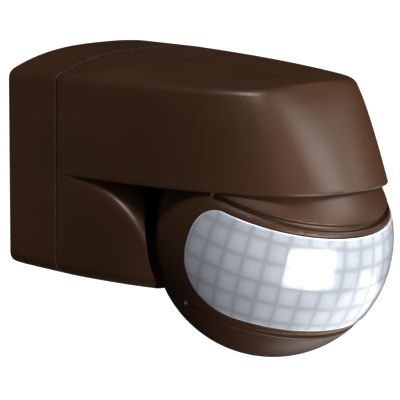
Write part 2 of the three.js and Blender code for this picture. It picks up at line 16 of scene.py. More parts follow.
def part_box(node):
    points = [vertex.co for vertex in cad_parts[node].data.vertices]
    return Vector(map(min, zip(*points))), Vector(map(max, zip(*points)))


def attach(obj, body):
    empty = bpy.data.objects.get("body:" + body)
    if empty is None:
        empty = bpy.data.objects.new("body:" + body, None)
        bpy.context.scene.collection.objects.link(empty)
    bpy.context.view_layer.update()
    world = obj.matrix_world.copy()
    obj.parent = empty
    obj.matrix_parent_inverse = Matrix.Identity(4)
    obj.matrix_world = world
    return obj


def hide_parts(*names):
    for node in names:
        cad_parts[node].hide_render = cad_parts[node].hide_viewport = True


bl_info = {
    "name": "Motion sensor",
    "version": (1, 0, 0),
    "blender": (4, 5, 0),
    "location": "3D View > Sidebar > Motion sensor",
    "description": "Builds the casings, lens, dials and small parts of a wall-mounted motion sensor",
    "category": "Object",
}

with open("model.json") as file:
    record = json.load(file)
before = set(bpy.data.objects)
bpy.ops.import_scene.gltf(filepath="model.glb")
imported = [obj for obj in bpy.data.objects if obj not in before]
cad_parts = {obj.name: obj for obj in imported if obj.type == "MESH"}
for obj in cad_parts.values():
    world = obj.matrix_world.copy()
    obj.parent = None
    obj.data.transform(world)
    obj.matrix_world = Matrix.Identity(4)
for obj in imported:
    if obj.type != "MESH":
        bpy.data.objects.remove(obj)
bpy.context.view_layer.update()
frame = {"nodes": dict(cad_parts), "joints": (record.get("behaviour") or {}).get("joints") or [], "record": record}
JOINTS = {joint["name"]: joint for joint in frame["joints"]}
PIVOT = np.array(JOINTS["head_tilt"]["pos_m"])
HEAD_UP = np.array(JOINTS["time_dial_turn"]["axis"])
HEAD_RIGHT = np.array((1.0, 0.0, 0.0))
HEAD_BACK = np.cross(HEAD_UP, HEAD_RIGHT)
MM = 0.001
TAU = 2 * math.pi
UP = (0, 0, 1)
WALL_OUT = (0, -1, 0)
MERGED = 2e-6  # points closer than this are one
LEAST_EDGE = 0.6 * MM  # smallest radius of a long edge on an inner skin
SCREW_PLACE = -30 * MM  # where the screw under the neck stands, along Y


def low(node):
    """The lower corner of a node's box."""
    return np.array(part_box(node)[0])


def high(node):
    """The upper corner of a node's box."""
    return np.array(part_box(node)[1])


# ---- sizes and colours a user would change
def length(name, value, description):
    """A length property whose default is given in millimetres."""
    return bpy.props.FloatProperty(
        name=name, description=description, default=value * MM, unit="LENGTH", precision=5
    )


def colour(name, value, description):
    """A colour property whose default is an sRGB hex value."""
    return bpy.props.FloatVectorProperty(
        name=name, description=description, default=from_hex(value)[:3], subtype="COLOR", min=0, max=1
    )


def from_hex(value):
    """sRGB hex, such as "4a3529", to linear red, green, blue and alpha."""
    parts = [int(value[i : i + 2], 16) / 255 for i in (0, 2, 4)]
    linear = [c / 12.92 if c <= 0.04045 else ((c + 0.055) / 1.055) ** 2.4 for c in parts]
    return (*linear, 1.0)


class CasingSizes(bpy.types.PropertyGroup):
    """Sizes of the wall base and the front housing"""

    half: length("Half width", 37.5, "Half of the casing's width at the parting line")
    crest: length("Crest", 29, "Height of the casing's long upper edges above the hood's rim")
    rise: length("Rise", 6, "How far the arched top and bottom stand out past those edges")
    edge: length("Edge radius", 2.3, "Radius of the casings' long edges")
    wall: length("Wall", 2.4, "Thickness of the casing's walls")
    gap: length("Gap", 0.5, "Gap of the parting line")
    bevel: length("Bevel", 0.12, "Rounding of the rims at the parting line")
    top_depth: length("Top depth", 95, "Depth of the hood's nose at its crest")
    rim_depth: length("Rim depth", 110, "Depth of the hood's nose at its rim")


class HeadSizes(bpy.types.PropertyGroup):
    """Sizes of the ball head"""

    radius: length("Radius", 35.4, "Radius of the ball head")
    lens: length("Lens radius", 35.65, "Radius of the lens's outer face")
    wall: length("Wall", 2.4, "Thickness of the head's shell")
    groove: length("Groove", 1.7, "Width of the two grooves above and below the lens")


class Finishes(bpy.types.PropertyGroup):
    """Colours of the casings, the lens and the floor"""

    casing: colour("Casing", "473020", "Chocolate brown of the moulded casings")
    lens: colour("Lens", "a6aab1", "Milky grey of the lens")
    floor: colour("Floor", "f4f4f4", "Pale studio floor")


def sizes():
    return bpy.context.scene.casing_sizes


def head_sizes():
    return bpy.context.scene.head_sizes


# ---- meshes
def weld(mesh):
    """Merges doubled points and turns every face outwards."""
    work = bmesh.new()
    work.from_mesh(mesh)
    bmesh.ops.remove_doubles(work, verts=work.verts, dist=MERGED)
    bmesh.ops.dissolve_degenerate(work, edges=work.edges, dist=1e-7)
    bmesh.ops.recalc_face_normals(work, faces=work.faces)
    work.to_mesh(mesh)
    work.free()
    return mesh


def cells(index):
    """Quads between neighbouring entries of a grid of point numbers."""
    corners = (index[:-1, :-1], index[:-1, 1:], index[1:, 1:], index[1:, :-1])
    return np.stack(corners, -1).reshape(-1, 4).tolist()


def lattice(name, points, wrap_rows=False, wrap_columns=True, lids=False, back=False):
    """A closed body from a grid of points [row, column, xyz], one quad per cell.

    lids fills the first and the last row, back fills the loop of the first and last columns.
    """
    rows, columns = points.shape[:2]
    index = np.arange(rows * columns).reshape(rows, columns)
    grid = np.vstack([index, index[:1]]) if wrap_rows else index
    grid = np.hstack([grid, grid[:, :1]]) if wrap_columns else grid
    faces = cells(grid)
    if lids:
        faces += [index[0, ::-1].tolist(), index[-1].tolist()]
    if back:
        faces.append(index[:, 0].tolist() + index[::-1, -1].tolist())
    mesh = bpy.data.meshes.new(name)
    mesh.from_pydata(points.reshape(-1, 3).tolist(), [], faces)
    return link(name, weld(mesh))


def link(name, mesh):
    """A new object of a mesh, at the origin."""
    piece = bpy.data.objects.new(name, mesh)
    bpy.context.scene.collection.objects.link(piece)
    return piece


def sheets(name, *grids):
    """A closed body from several open grids of points whose borders meet."""
    points, faces, start = [], [], 0
    for grid in grids:
        rows, columns = grid.shape[:2]
        index = np.arange(rows * columns).reshape(rows, columns) + start
        faces += cells(index)
        points += grid.reshape(-1, 3).tolist()
        start += rows * columns
    mesh = bpy.data.meshes.new(name)
    mesh.from_pydata(points, [], faces)
    return link(name, weld(mesh))


def shape_with(piece, operation, *tools):
    """Cuts tools from piece, joins them to it or keeps what they share, and removes the tools."""
    for tool in tools:
        modifier = piece.modifiers.new("shape", "BOOLEAN")
        modifier.operation = operation
        modifier.solver = "MANIFOLD"
        modifier.object = tool
    bpy.context.view_layer.update()
    evaluated = piece.evaluated_get(bpy.context.evaluated_depsgraph_get())
    mesh = bpy.data.meshes.new_from_object(evaluated)
    piece.modifiers.clear()
    piece.data = mesh
    for tool in tools:
        bpy.data.objects.remove(tool)
    return piece


def carve(piece, *tools):
    return shape_with(piece, "DIFFERENCE", *tools)


def fuse(piece, *tools):
    return shape_with(piece, "UNION", *tools)


def trim(piece, *tools):
    return shape_with(piece, "INTERSECT", *tools)


def gather(name, *pieces):
    """Joins separate bodies into one piece without merging them."""
    work = bmesh.new()
    for piece in pieces:
        work.from_mesh(piece.data)
        bpy.data.objects.remove(piece)
    mesh = bpy.data.meshes.new(name)
    work.to_mesh(mesh)
    work.free()
    return link(name, mesh)


def finish(piece, finish_material, body, slot, *nodes, sharp=32):
    """Shades a piece smooth up to an angle, gives it its material, ties it to its body and hides its nodes."""
    piece.data.shade_smooth()
    piece.data.set_sharp_from_angle(angle=math.radians(sharp))
    piece.data.materials.clear()
    piece.data.materials.append(finish_material)
    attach(piece, body)
    if nodes:
        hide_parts(*nodes)
    return piece


def to_world(points, place=None):
    """Head coordinates, +Z its own up and -Y where the lens looks, to the frame's."""
    basis = np.stack([HEAD_RIGHT, HEAD_BACK, HEAD_UP])
    return np.asarray(points) @ basis + (PIVOT if place is None else place)


def revolved(name, profile, centre, axis, start=(1, 0, 0), count=64, closed=False):
    """A body of revolution: profile holds (radius, height) pairs, height along axis from centre.

    closed joins the profile's ends, which makes a ring.
    """
    profile = np.asarray(profile, float)
    axis = np.asarray(axis, float)
    side = np.cross(axis, start)
    side /= np.linalg.norm(side)
    other = np.cross(axis, side)
    turn = np.arange(count) * TAU / count
    ring = np.cos(turn)[:, None] * side + np.sin(turn)[:, None] * other
    points = profile[:, 0, None, None] * ring + profile[:, 1, None, None] * axis + np.asarray(centre)
    return lattice(name, points, wrap_rows=closed, lids=not closed)


def cylinder(name, radius, tall, centre, axis, count=64):
    """A round tool from a centre along an axis."""
    return revolved(name, [(radius, 0), (radius, tall)], centre, axis, count=count)


def box_between(name, corner, opposite):
    """A box between two corners."""
    lo, hi = np.minimum(corner, opposite), np.maximum(corner, opposite)
    plan = lo[:2] + np.array(((0, 0), (1, 0), (1, 1), (0, 1))) * (hi - lo)[:2]
    rows = [np.column_stack([plan, np.full(4, z)]) for z in (lo[2], hi[2])]
    return lattice(name, np.array(rows), lids=True)


def bent(a, corner, b, count):
    """Points of a quadratic curve from a towards b round corner, without a, as [count, ..., axes]."""
    t = (np.arange(count) + 1) / count
    t = t.reshape(-1, *([1] * np.ndim(a)))
    return (1 - t) ** 2 * a + 2 * t * (1 - t) * corner + t * t * b


def eased(value):
    """0 to 1 with flat ends."""
    t = np.clip(value, 0, 1)
    return t * t * (3 - 2 * t)


# ---- casing sections
CROWN_POWER = 2.6


def arch(x, half, rise):
    """Height of the arched top over its edges: full on the centre line, none at half."""
    return rise * (1 - np.abs(x / half) ** CROWN_POWER)


def section(half, bottom, top, edge, rise_top, rise_low, low_edge=None, across=26, corner=8):
    """Ring of (x, z) of a box with an arched top and bottom and rounded long edges."""
    low_edge = edge if low_edge is None else low_edge
    x = np.linspace(0, half - edge, across)
    crown = np.stack([x, top + arch(x, half, rise_top)], 1)
    shoulder = bent(crown[-1], np.array((half, top)), np.array((half, top - edge)), corner)
    side = np.stack([np.full(10, half), np.linspace(top - edge, bottom + low_edge, 12)[1:-1]], 1)
    x = np.linspace(half - low_edge, 0, across)
    keel = np.stack([x, bottom - arch(x, half, rise_low)], 1)
    hip = np.array((half, bottom + low_edge))
    hips = np.vstack([hip, bent(hip, np.array((half, bottom)), keel[0], corner)[:-1]])
    right = np.vstack([crown, shoulder, side, hips, keel])
    left = right[1:-1][::-1] * (-1, 1)
    return np.vstack([right, left])


def at_depth(ring, depth):
    """A ring of (x, z) as points at a depth from the wall."""
    return np.stack([ring[:, 0], np.full(len(ring), -depth), ring[:, 1]], 1)


def rounded_in(distance, radius):
    """How far a rim rounded to radius stands in at a distance from its end face."""
    reach = np.clip(radius - distance, 0, radius)
    return radius - np.sqrt(radius * radius - reach * reach)


# ---- wall base
BACK_PLATE = 3 * MM
BACK_ROUND = 0.8 * MM  # radius of the rim at the wall
RIM_EASE = 0.08 * MM  # radius of the rim at the parting line
LIP_INSIDE = 5.2 * MM  # how far in the ledge and the lip reach
SLOT_PLACE = 30 * MM  # the fixing slots' distance from the middle


def base_ring(inset, depth):
    """The wall base's outline at a depth, taken in by inset: it narrows a little towards the wall."""
    s = sizes()
    behind = 1 - depth / parting()
    half = s.half - 0.45 * MM * behind**2 - inset
    bottom = -s.crest + 0.6 * MM * behind + inset
    edge = max(s.edge - inset, LEAST_EDGE)
    return at_depth(section(half, bottom, s.crest - inset, edge, s.rise, s.rise), depth)


def parting():
    """Depth of the parting line between the wall base and the front housing."""
    return 22 * MM


def base_band(name, outer, inner, start, end):
    """A closed band between two insets and two depths of the wall base."""
    rings = [base_ring(i, d) for i, d in ((outer, start), (outer, end), (inner, end), (inner, start))]
    return lattice(name, np.array(rings), wrap_rows=True)


def build_wall_base():
    """The wall base: a shallow tub of stacked outlines with a rounded back edge and an eased front rim.

    A ledge and a lip inside the rim locate the front housing, and a lug on a web takes its screw.
    """
    s = sizes()
    rim = parting() - s.gap / 2
    quarter = np.linspace(0, math.pi / 2, 6)
    outside = [(BACK_ROUND * (1 - math.sin(a)), BACK_ROUND * (1 - math.cos(a))) for a in quarter]
    outside += [(0, d) for d in np.linspace(BACK_ROUND, rim - RIM_EASE, 9)[1:]]
    outside += [(RIM_EASE * (1 - math.cos(a)), rim - RIM_EASE * (1 - math.sin(a))) for a in quarter[1:]]
    inside = [(s.wall, rim), (s.wall, BACK_PLATE)]
    piece = lattice("base_casing", np.array([base_ring(i, d) for i, d in outside + inside]), lids=True)
    fuse(
        piece,
        base_band("ledge", s.wall - 0.2 * MM, LIP_INSIDE, 17.5 * MM, 20.2 * MM),
        base_band("lip", 3.9 * MM, LIP_INSIDE, 20 * MM, 24.8 * MM),
        box_between("web", (-6 * MM, -20.1 * MM, -31 * MM), (6 * MM, -17.5 * MM, -23 * MM)),
        box_between("lug", (-6 * MM, -34.3 * MM, -27.8 * MM), (6 * MM, -17.6 * MM, -23 * MM)),
    )
    lo, hi = low("rear_cable_grommet"), high("rear_cable_grommet")
    radius = (hi[0] - lo[0]) / 2
    entry = (0, MM, (lo[2] + hi[2]) / 2)
    bottom = (low("bottom_cable_grommet") + high("bottom_cable_grommet"))[1] / 2
    carve(
        piece,
        base_band("seal_groove", 2.7 * MM, 5.8 * MM, -1 * MM, 1.3 * MM),
        *(slot_tool(x, 4.5 * MM, 9 * MM, BACK_PLATE) for x in (-SLOT_PLACE, SLOT_PLACE)),
        cylinder("entry", radius - 0.6 * MM, 7 * MM, entry, WALL_OUT),
        cylinder("recess", radius + 0.6 * MM, 2.7 * MM, entry, WALL_OUT),
        cylinder("bottom_entry", 5.6 * MM, 8 * MM, (0, bottom, -38 * MM), UP),
        cylinder("screw_hole", 1.5 * MM, 7 * MM, (0, SCREW_PLACE, -29 * MM), UP, count=24),
    )
    return piece


def slot_tool(x, width, tall, plate):
    """A countersunk slot with round ends, upright in the back plate, as stacked offsets of one outline."""
    turn = np.linspace(0, math.pi, 17)
    straight = np.array((0, (tall - width) / 2))
    rings = []
    for grow, y in ((0.6, 1), (0.3, -0.2), (0, -0.6), (0, 1.2 - plate / MM), (1.6, -1 - plate / MM)):
        upper = np.stack([np.cos(turn), np.sin(turn)], 1) * (width / 2 + grow * MM) + straight
        outline = np.vstack([upper, -upper])
        rings.append(np.column_stack([outline[:, 0] + x, np.full(len(outline), y * MM), outline[:, 1]]))
    return lattice("slot", np.array(rings), lids=True)


# ---- front housing
HOOD_START = 18 * MM  # depth where the outlines start to narrow
HOOD_BULGE = 0.75
HOOD_FALL = 1.5
TOP_SQUARE, TOP_FULL = 4.5, 1.333
RIM_SQUARE, RIM_FULL = 2.86, 2.555
SIDE_LENGTH = 170 * MM
SPINE_SHORT = 20 * MM  # the spine stops this far behind the hood's nose


def hood_outline(half, end, squareness, fullness, stations, rear):
    """One side of the hood's outline, (half-width, depth) at shares of its length from rear to nose.

    With u the share of the way to the nose, the half-width is half * (1 - u^fullness)^(1 / squareness).
    """
    share = 1 - (1 - np.linspace(0, 1, 4000)) ** 3
    width = np.maximum(1 - share**fullness, 0) ** (1 / squareness) * half
    depth = HOOD_START + share * (end - HOOD_START)
    keep = depth > rear
    start = np.interp(rear, depth, width)
    path = np.vstack([(start, rear), np.stack([width[keep], depth[keep]], 1)])
    along = np.concatenate([[0], np.cumsum(np.hypot(*np.diff(path, axis=0).T))])
    at = stations * along[-1]
    return np.stack([np.interp(at, along, path[:, 0]), np.interp(at, along, path[:, 1])], 1)


def hood_crown(x, depth, half, end, rise, inset):
    """The arch of the hood's top over its crest: rise * sqrt(1 - u^fall) * (1 - |x / width|^power).

    u is the share of the way to the nose and width the outline's half-width there.
    """
    run = np.clip((depth - HOOD_START) / (end - inset - MM - HOOD_START), 0, 1)
    share = np.clip((depth - HOOD_START) / (end - inset - HOOD_START), 0, 1)
    local = (half - inset) * np.maximum(1 - share**TOP_FULL, 0) ** (1 / TOP_SQUARE)
    out = np.clip(np.abs(x) / np.maximum(local, 1e-6), 0, 1)
    return rise * np.sqrt(1 - run**HOOD_FALL) * (1 - out**CROWN_POWER)


def outward(path, straight):
    """Unit normals of one side's outline in plan; the first few point straight to the side."""
    along = np.gradient(path, axis=0)
    normal = np.stack([along[:, 1], -along[:, 0]], 1)
    normal /= np.linalg.norm(normal, axis=1)[:, None]
    normal[:straight] = (1, 0)
    normal[-1] = (0, 1)
    return normal


def hood_stations(inset, count):
    """Shares of the outline's length; the outer skin has finer ones first, for its rear rounding."""
    if inset > 0:
        return np.linspace(0, 1, count)
    first = sizes().bevel / SIDE_LENGTH
    return np.concatenate([np.array((0, 0.15, 0.35, 0.6, 0.85)) * first, np.linspace(first, 1, count)])


def hood_top(top, corner, inset, edge, lean, spine):
    """Rows from the spine over the arch and round the ridge, a quadratic curve between tangent points."""
    s = sizes()
    crest = s.crest - inset
    reach = edge * (np.sqrt(1 + lean**2) - lean)
    ridge = corner - reach[:, None] * outward(top, 3)
    ridge[:, 0] = np.maximum(ridge[:, 0], 0)
    ridge[-1, 0] = 0
    rows = []
    for share in np.linspace(0, 1, 22):
        plan = spine + (ridge - spine) * share
        arched = hood_crown(plan[:, 0], plan[:, 1], s.half, s.top_depth, s.rise, inset)
        rows.append(np.column_stack([plan, crest + arched]))
    drop = reach / np.sqrt(1 + lean**2)
    shoulder = np.column_stack([corner + (top - corner) * (drop / edge)[:, None], crest - drop])
    rows += list(bent(rows[-1], np.column_stack([corner, np.full(len(top), crest)]), shoulder, 8))
    return rows + [np.column_stack([top, np.full(len(top), crest - edge)])]


def hood_lip(outer, rim, base, radius, spine):
    """Rows from the foot of the side round the lip, a quarter circle, and in to the spine."""
    inward = -outward(rim, 1)
    rows = []
    for angle in np.linspace(0, math.pi / 2, 7)[1:]:
        plan = outer + inward * (radius * (1 - math.cos(angle)))[:, None]
        rows.append(np.column_stack([plan, base + radius * (1 - math.sin(angle))]))
    floor = rows[-1][:, :2]
    for share in (0.2, 0.6, 1):
        rows.append(np.column_stack([floor + (spine - floor) * share, np.full(len(floor), base)]))
    return rows


def hood_body(inset, base, rear, count, lip=0.0):
    """Points of the hood, taken in by inset: rows run from its spine over the ridge and down to base.

    Each column is one station of the outline. The side goes from the top outline to the rim outline
    by ((crest - z) / (crest - base))^bulge, so it swells on its way down.
    """
    s = sizes()
    stations = hood_stations(inset, count)
    top = hood_outline(s.half - inset, s.top_depth - inset, TOP_SQUARE, TOP_FULL, stations, rear)
    rim = hood_outline(s.half - inset, s.rim_depth - inset, RIM_SQUARE, RIM_FULL, stations, rear)
    crest = s.crest - inset
    edge = max(s.edge - inset, LEAST_EDGE)
    first = (edge / (crest - base)) ** HOOD_BULGE
    corner = top - (rim - top) * (HOOD_BULGE * first / (1 - first))
    corner[:, 0] = np.maximum(corner[:, 0], 0)
    lean = np.linalg.norm(corner - top, axis=1) / edge
    spine = np.stack([np.zeros(len(stations)), rear + stations * (s.top_depth - SPINE_SHORT - rear)], 1)
    rows = hood_top(top, corner, inset, edge, lean, spine)
    radius = lip * eased((rim[:, 1] - parting()) / (9 * MM)) + 0.02 * MM
    for t in np.linspace(0, 1, 27)[1:]:
        z = (crest - edge) * (1 - t) + (base + radius) * t
        share = (((crest - z) / (crest - base)) ** HOOD_BULGE - first) / (1 - first)
        rows.append(np.column_stack([top + (rim - top) * share[:, None], z]))
    rows += hood_lip(rows[-1][:, :2], rim, base, radius, spine)
    half = np.array(rows)
    half[:, :, 1] *= -1
    half[:, -1, 0] = 0
    return np.concatenate([half, half[:, -2::-1] * (-1, 1, 1)], axis=1)


def rear_rounding(points, rear, radius):
    """Takes a body in towards its middle next to its rear face, which rounds that rim."""
    stand_in = rounded_in(-points[..., 1] - rear, radius)
    points[..., 0] *= 1 - stand_in / sizes().half
    points[..., 2] *= 1 - stand_in / (sizes().crest + sizes().rise / 2)
    return points


NECK = {"length": 39 * MM, "reach": 54 * MM, "top": 0.6 * MM, "shoulder": 3.2 * MM}


def neck_body(inset, rear, count):
    """The neck as sections across it: full width at the parting line, lower and narrower forwards.

    With u the share of its length, it is (1 - u^2.6)^0.55 of its height and (1 - v^2.6)^0.25 of its
    half-width, where v is the share of its reach.
    """
    s = sizes()
    reach = np.sin(np.linspace(0, math.pi / 2, count)) * 0.992
    depths = parting() + reach * (NECK["length"] - inset)
    depths[0] = rear
    fine = rear + s.bevel * np.array((0.15, 0.35, 0.6, 0.85, 1.1))
    depths = np.sort(np.concatenate([depths[depths > fine[-1]], [rear], fine]))
    rings = []
    for depth in depths:
        u = max(depth - parting(), 0) / (NECK["length"] - inset)
        v = u * NECK["length"] / NECK["reach"]
        half = s.half * (1 - v**2.6) ** 0.25 - inset
        bottom = -s.crest + inset
        tall = (NECK["top"] + s.crest) * (1 - u**2.6) ** 0.55 - 2 * inset
        tall = max(tall, 1.2 * MM)
        near = float(eased((depth - parting()) / (10 * MM)))
        shoulder = min(NECK["shoulder"] * near + 0.05 * MM, tall * 0.45)
        low_edge = min(s.edge, tall * 0.45)
        rise = s.rise * (half + inset) / s.half
        ring = section(half, bottom, bottom + tall, shoulder, 0, rise, low_edge)
        rings.append(at_depth(ring, depth))
    return np.array(rings)


def ball_body(name, centre, radius, rows=90, columns=180):
    """A ball: circles of latitude about the X axis, whose poles are out of sight."""
    lat = np.linspace(-math.pi / 2, math.pi / 2, rows + 1)[:, None]
    lon = np.arange(columns)[None] * TAU / columns
    flat = np.cos(lat)
    x = np.broadcast_to(np.sin(lat), (rows + 1, columns))
    points = np.stack([x, flat * np.cos(lon), flat * np.sin(lon)], -1) * radius + np.asarray(centre)
    return lattice(name, points)


def build_front_housing():
    """The front housing: hood and neck in one, hollow, with a socket that the ball head turns in.

    A deck in the hood carries the swivel's stem, and a boss under the neck takes the cover screw.
    """
    s = sizes()
    rear = parting() + s.gap / 2
    hood = rear_rounding(hood_body(0, 0, rear, 120, lip=0.55 * MM), rear, s.bevel)
    piece = lattice("front_casing", hood, wrap_columns=False, back=True)
    neck = lattice("neck", rear_rounding(neck_body(0, rear, 60), rear, s.bevel), lids=True)
    lifted = PIVOT + (0, 0, 1.5 * MM)
    carve(neck, ball_body("neck_socket", lifted, 38.6 * MM))
    fuse(piece, neck)
    open_rear = rear - MM
    loft = lattice("loft", hood_body(s.wall, 2 * MM, open_rear, 40), wrap_columns=False, back=True)
    carve(loft, ball_body("dome", PIVOT, 39.2 * MM, 40, 80))
    cellar = lattice("cellar", neck_body(s.wall, open_rear, 24), lids=True)
    fuse(cellar, box_between("passage", (-35 * MM, -36 * MM, -6 * MM), (35 * MM, -21 * MM, 4 * MM)))
    carve(cellar, ball_body("shell", lifted, 41.6 * MM, 40, 80))
    carve(piece, loft, cellar)
    fuse(
        piece,
        cylinder("deck", 10 * MM, 5 * MM, (0, PIVOT[1], 17 * MM), UP),
        cylinder("screw_boss", 5 * MM, 5.5 * MM, (0, SCREW_PLACE, -34 * MM), UP),
    )
    seat = [(3.6 * MM, 0), (3.1 * MM, 2.4 * MM), (3.1 * MM, 5.7 * MM)]
    under = (0, SCREW_PLACE, -37 * MM)
    carve(
        piece,
        ball_body("socket", PIVOT, 36.2 * MM),
        cylinder("stem_hole", 5.8 * MM, 14 * MM, (0, PIVOT[1], 10 * MM), UP),
        revolved("screw_seat", seat, under, UP, count=40),
        cylinder("screw_hole", 1.7 * MM, 10 * MM, under, UP, count=32),
    )
    return piece


# ---- head
WINDOW = {"north": 25.5, "south": -24.5, "end": 92.0, "widest": 8.0}
GROOVE_PLACES = (29.8, -29.4)
GROOVE_END = 90.5
# (height over the ball in mm, share of the groove's half-width) from its lip down to its middle
GROOVE = (
    *((2, 2.2), (0.06, 1.42), (-0.05, 1.2), (-0.25, 1.06)),
    *((-0.8, 1), (-1.2, 0.85), (-1.4, 0.5), (-1.45, 0)),
)
STEM_SLOT = 6.4 * MM  # half of the stem slot's width
FACET = 10  # degrees across one facet of the lens


def on_ball(radius, lon, lat):
    """Head coordinates of a point on the ball at a longitude and latitude in degrees."""
    lon, lat = np.radians(lon), np.radians(lat)
    flat = np.cos(lat)
    return np.stack([flat * np.sin(lon), -flat * np.cos(lon), np.sin(lat)], -1) * radius


def window_ends(rows):
    """Latitudes from south to north and the longitude where the window ends at each, in degrees.

    Both ends are superellipse quarters that meet at the widest latitude: the lower one is the larger.
    """
    angle = np.linspace(0, math.pi / 2, rows)
    quarters = []
    for edge, power, taken in (("south", 2.6, 34), ("north", 2.8, 14)):
        lat = WINDOW["widest"] + (WINDOW[edge] - WINDOW["widest"]) * np.sin(angle) ** (2 / power)
        quarters.append((lat, WINDOW["end"] - taken * (1 - np.cos(angle))))
    (low_lat, low_end), (high_lat, high_end) = quarters
    return np.concatenate([low_lat[::-1], high_lat[1:]]), np.concatenate([low_end[::-1], high_end[1:]])


def window_plan(rows=22, columns=140):
    """Grid [row, column] of (longitude, latitude) that fills the window: rows of even steps."""
    lat, end = window_ends(rows)
    lon = end[:, None] * np.linspace(-1, 1, columns)
    return np.stack([lon, np.broadcast_to(lat[:, None], lon.shape)], -1)


def border(grid):
    """The closed ring round the border of a grid."""
    return np.concatenate([grid[0, :-1], grid[:-1, -1], grid[-1, :0:-1], grid[:0:-1, 0]])


def resized_plan(plan, amount):
    """The window's grid with its border moved out by an amount in degrees, and the rest in proportion."""
    middle = (WINDOW["north"] + WINDOW["south"]) / 2
    tall = (WINDOW["north"] - WINDOW["south"]) / 2
    lat = middle + (plan[:, :1, 1] - middle) * (1 + amount / tall)
    lon = plan[..., 0] * (1 + amount / plan[:, -1:, 0])
    return np.stack([lon, np.broadcast_to(lat, lon.shape)], -1)


def window_body(name, plan, stations):
    """A plug the shape of the window: its border follows stations of (radius, growth in degrees)."""
    grids = [resized_plan(plan, growth) for _, growth in stations]
    faces = [on_ball(stations[i][0], *np.moveaxis(grids[i], -1, 0)) for i in (0, -1)]
    rings = [on_ball(radius, *border(grid).T) for (radius, _), grid in zip(stations, grids)]
    wall = np.array(rings)
    faces.append(np.concatenate([wall, wall[:, :1]], axis=1))
    return sheets(name, *map(to_world, faces))


def groove_body(latitude):
    """A groove round the front of the ball with round ends and eased lips: a U swept along a latitude.

    Towards each end the U narrows as the half-width of a circle does.
    """
    h = head_sizes()
    half = math.degrees(h.groove / 2 / h.radius)
    profile = np.vstack([GROOVE, np.array(GROOVE)[-2::-1] * (1, -1)])
    lon = GROOVE_END * np.sin(np.linspace(-math.pi / 2, math.pi / 2, 161))
    from_end = np.clip((GROOVE_END - np.abs(lon)) / half * np.cos(math.radians(latitude)), 0, 1)
    width = np.maximum(np.sqrt(1 - (1 - from_end) ** 2), 0.05)
    radius = h.radius + np.broadcast_to(profile[:, 0] * MM, (len(lon), len(profile)))
    lat = latitude + half * profile[None, :, 1] * width[:, None]
    points = on_ball(radius[..., None], np.broadcast_to(lon[:, None], lat.shape), lat)
    return lattice("groove", to_world(points), lids=True)


def head_ball(name, radius, rows=90, columns=180):
    return ball_body(name, PIVOT, radius, rows, columns)


def stem_slot():
    """The slot over the top of the head that the stem moves along as the head tilts: a swept box."""
    radius = head_sizes().radius
    turn = np.radians(np.linspace(-12, 62, 40))
    high_side, low_side = radius + 3 * MM, radius - 6 * MM
    corners = ((high_side, -1), (high_side, 1), (low_side, 1), (low_side, -1))
    rings = [
        np.stack([np.full(len(turn), side * STEM_SLOT), reach * np.sin(turn), reach * np.cos(turn)], 1)
        for reach, side in corners
    ]
    return lattice("stem_slot", to_world(np.array(rings).swapaxes(0, 1)), lids=True)


def head_box(name, corner, opposite):
    """A box in head coordinates."""
    piece = box_between(name, corner, opposite)
    basis = Matrix([HEAD_RIGHT, HEAD_BACK, HEAD_UP]).transposed().to_4x4()
    piece.data.transform(Matrix.Translation(Vector(PIVOT)) @ basis)
    return piece


SEAM = 21.4 * MM  # the two halves of the head meet this far behind its middle
FAR = 60 * MM  # past every part of the head
DIAL_PLACES = {"time_dial": -8 * MM, "light_dial": 8 * MM}
DIAL_FORWARD = 2 * MM
DIAL_FACE = -31.8 * MM


def head_revolved(name, profile, x, y, count=64):
    """A body of revolution about the head's own up axis, from a place in head coordinates."""
    return revolved(name, profile, to_world((x, y, 0)), HEAD_UP, count=count)


def inside_parts(radius):
    """The plates that carry the tilt pins and the bosses of the dials, trimmed to the ball."""
    parts = []
    for side in (-1, 1):
        near, far = side * 22 * MM, side * 24.5 * MM
        parts.append(head_box("web", (near, -5 * MM, -40 * MM), (far, 12 * MM, 40 * MM)))
    for x in DIAL_PLACES.values():
        parts.append(head_revolved("boss", [(7.2 * MM, -36 * MM), (7.2 * MM, -27.6 * MM)], x, DIAL_FORWARD))
    return [trim(part, head_ball("inside", radius - MM, 60, 120)) for part in parts]


def dial_tools():
    """The pocket that each dial sits in and the hole for its spindle."""
    pocket = [(5.8 * MM, -40 * MM), (5.8 * MM, -34.9 * MM), (5.6 * MM, -34.5 * MM), (5.6 * MM, -29.2 * MM)]
    hole = [(1.7 * MM, -40 * MM), (1.7 * MM, -25 * MM)]
    tools = []
    for x in DIAL_PLACES.values():
        tools.append(head_revolved("pocket", pocket, x, DIAL_FORWARD))
        tools.append(head_revolved("hole", hole, x, DIAL_FORWARD, count=32))
    return tools


def build_head_shell():
    """The front of the ball head: a hollow ball cut at its seam, with window, grooves and stem slot."""
    h = head_sizes()
    r = h.radius
    piece = head_ball("head_casing", r)
    carve(piece, head_ball("hollow", r - h.wall, 60, 120))
    carve(piece, head_box("behind", (-FAR, SEAM, -FAR), (FAR, FAR, FAR)))
    fuse(piece, *inside_parts(r))
    lip = [(-6, 0), (-0.7, 0), (-0.35, 0.06), (-0.12, 0.25), (0, 0.6), (3, 6)]
    window = window_body("window", window_plan(), [(r + rise * MM, growth) for rise, growth in lip])
    carve(piece, window, *map(groove_body, GROOVE_PLACES), stem_slot())
    pins = [(2.25 * MM, -30 * MM), (2.25 * MM, 30 * MM)]
    carve(piece, *dial_tools(), revolved("pins", pins, PIVOT, HEAD_RIGHT, UP, count=32))
    return piece


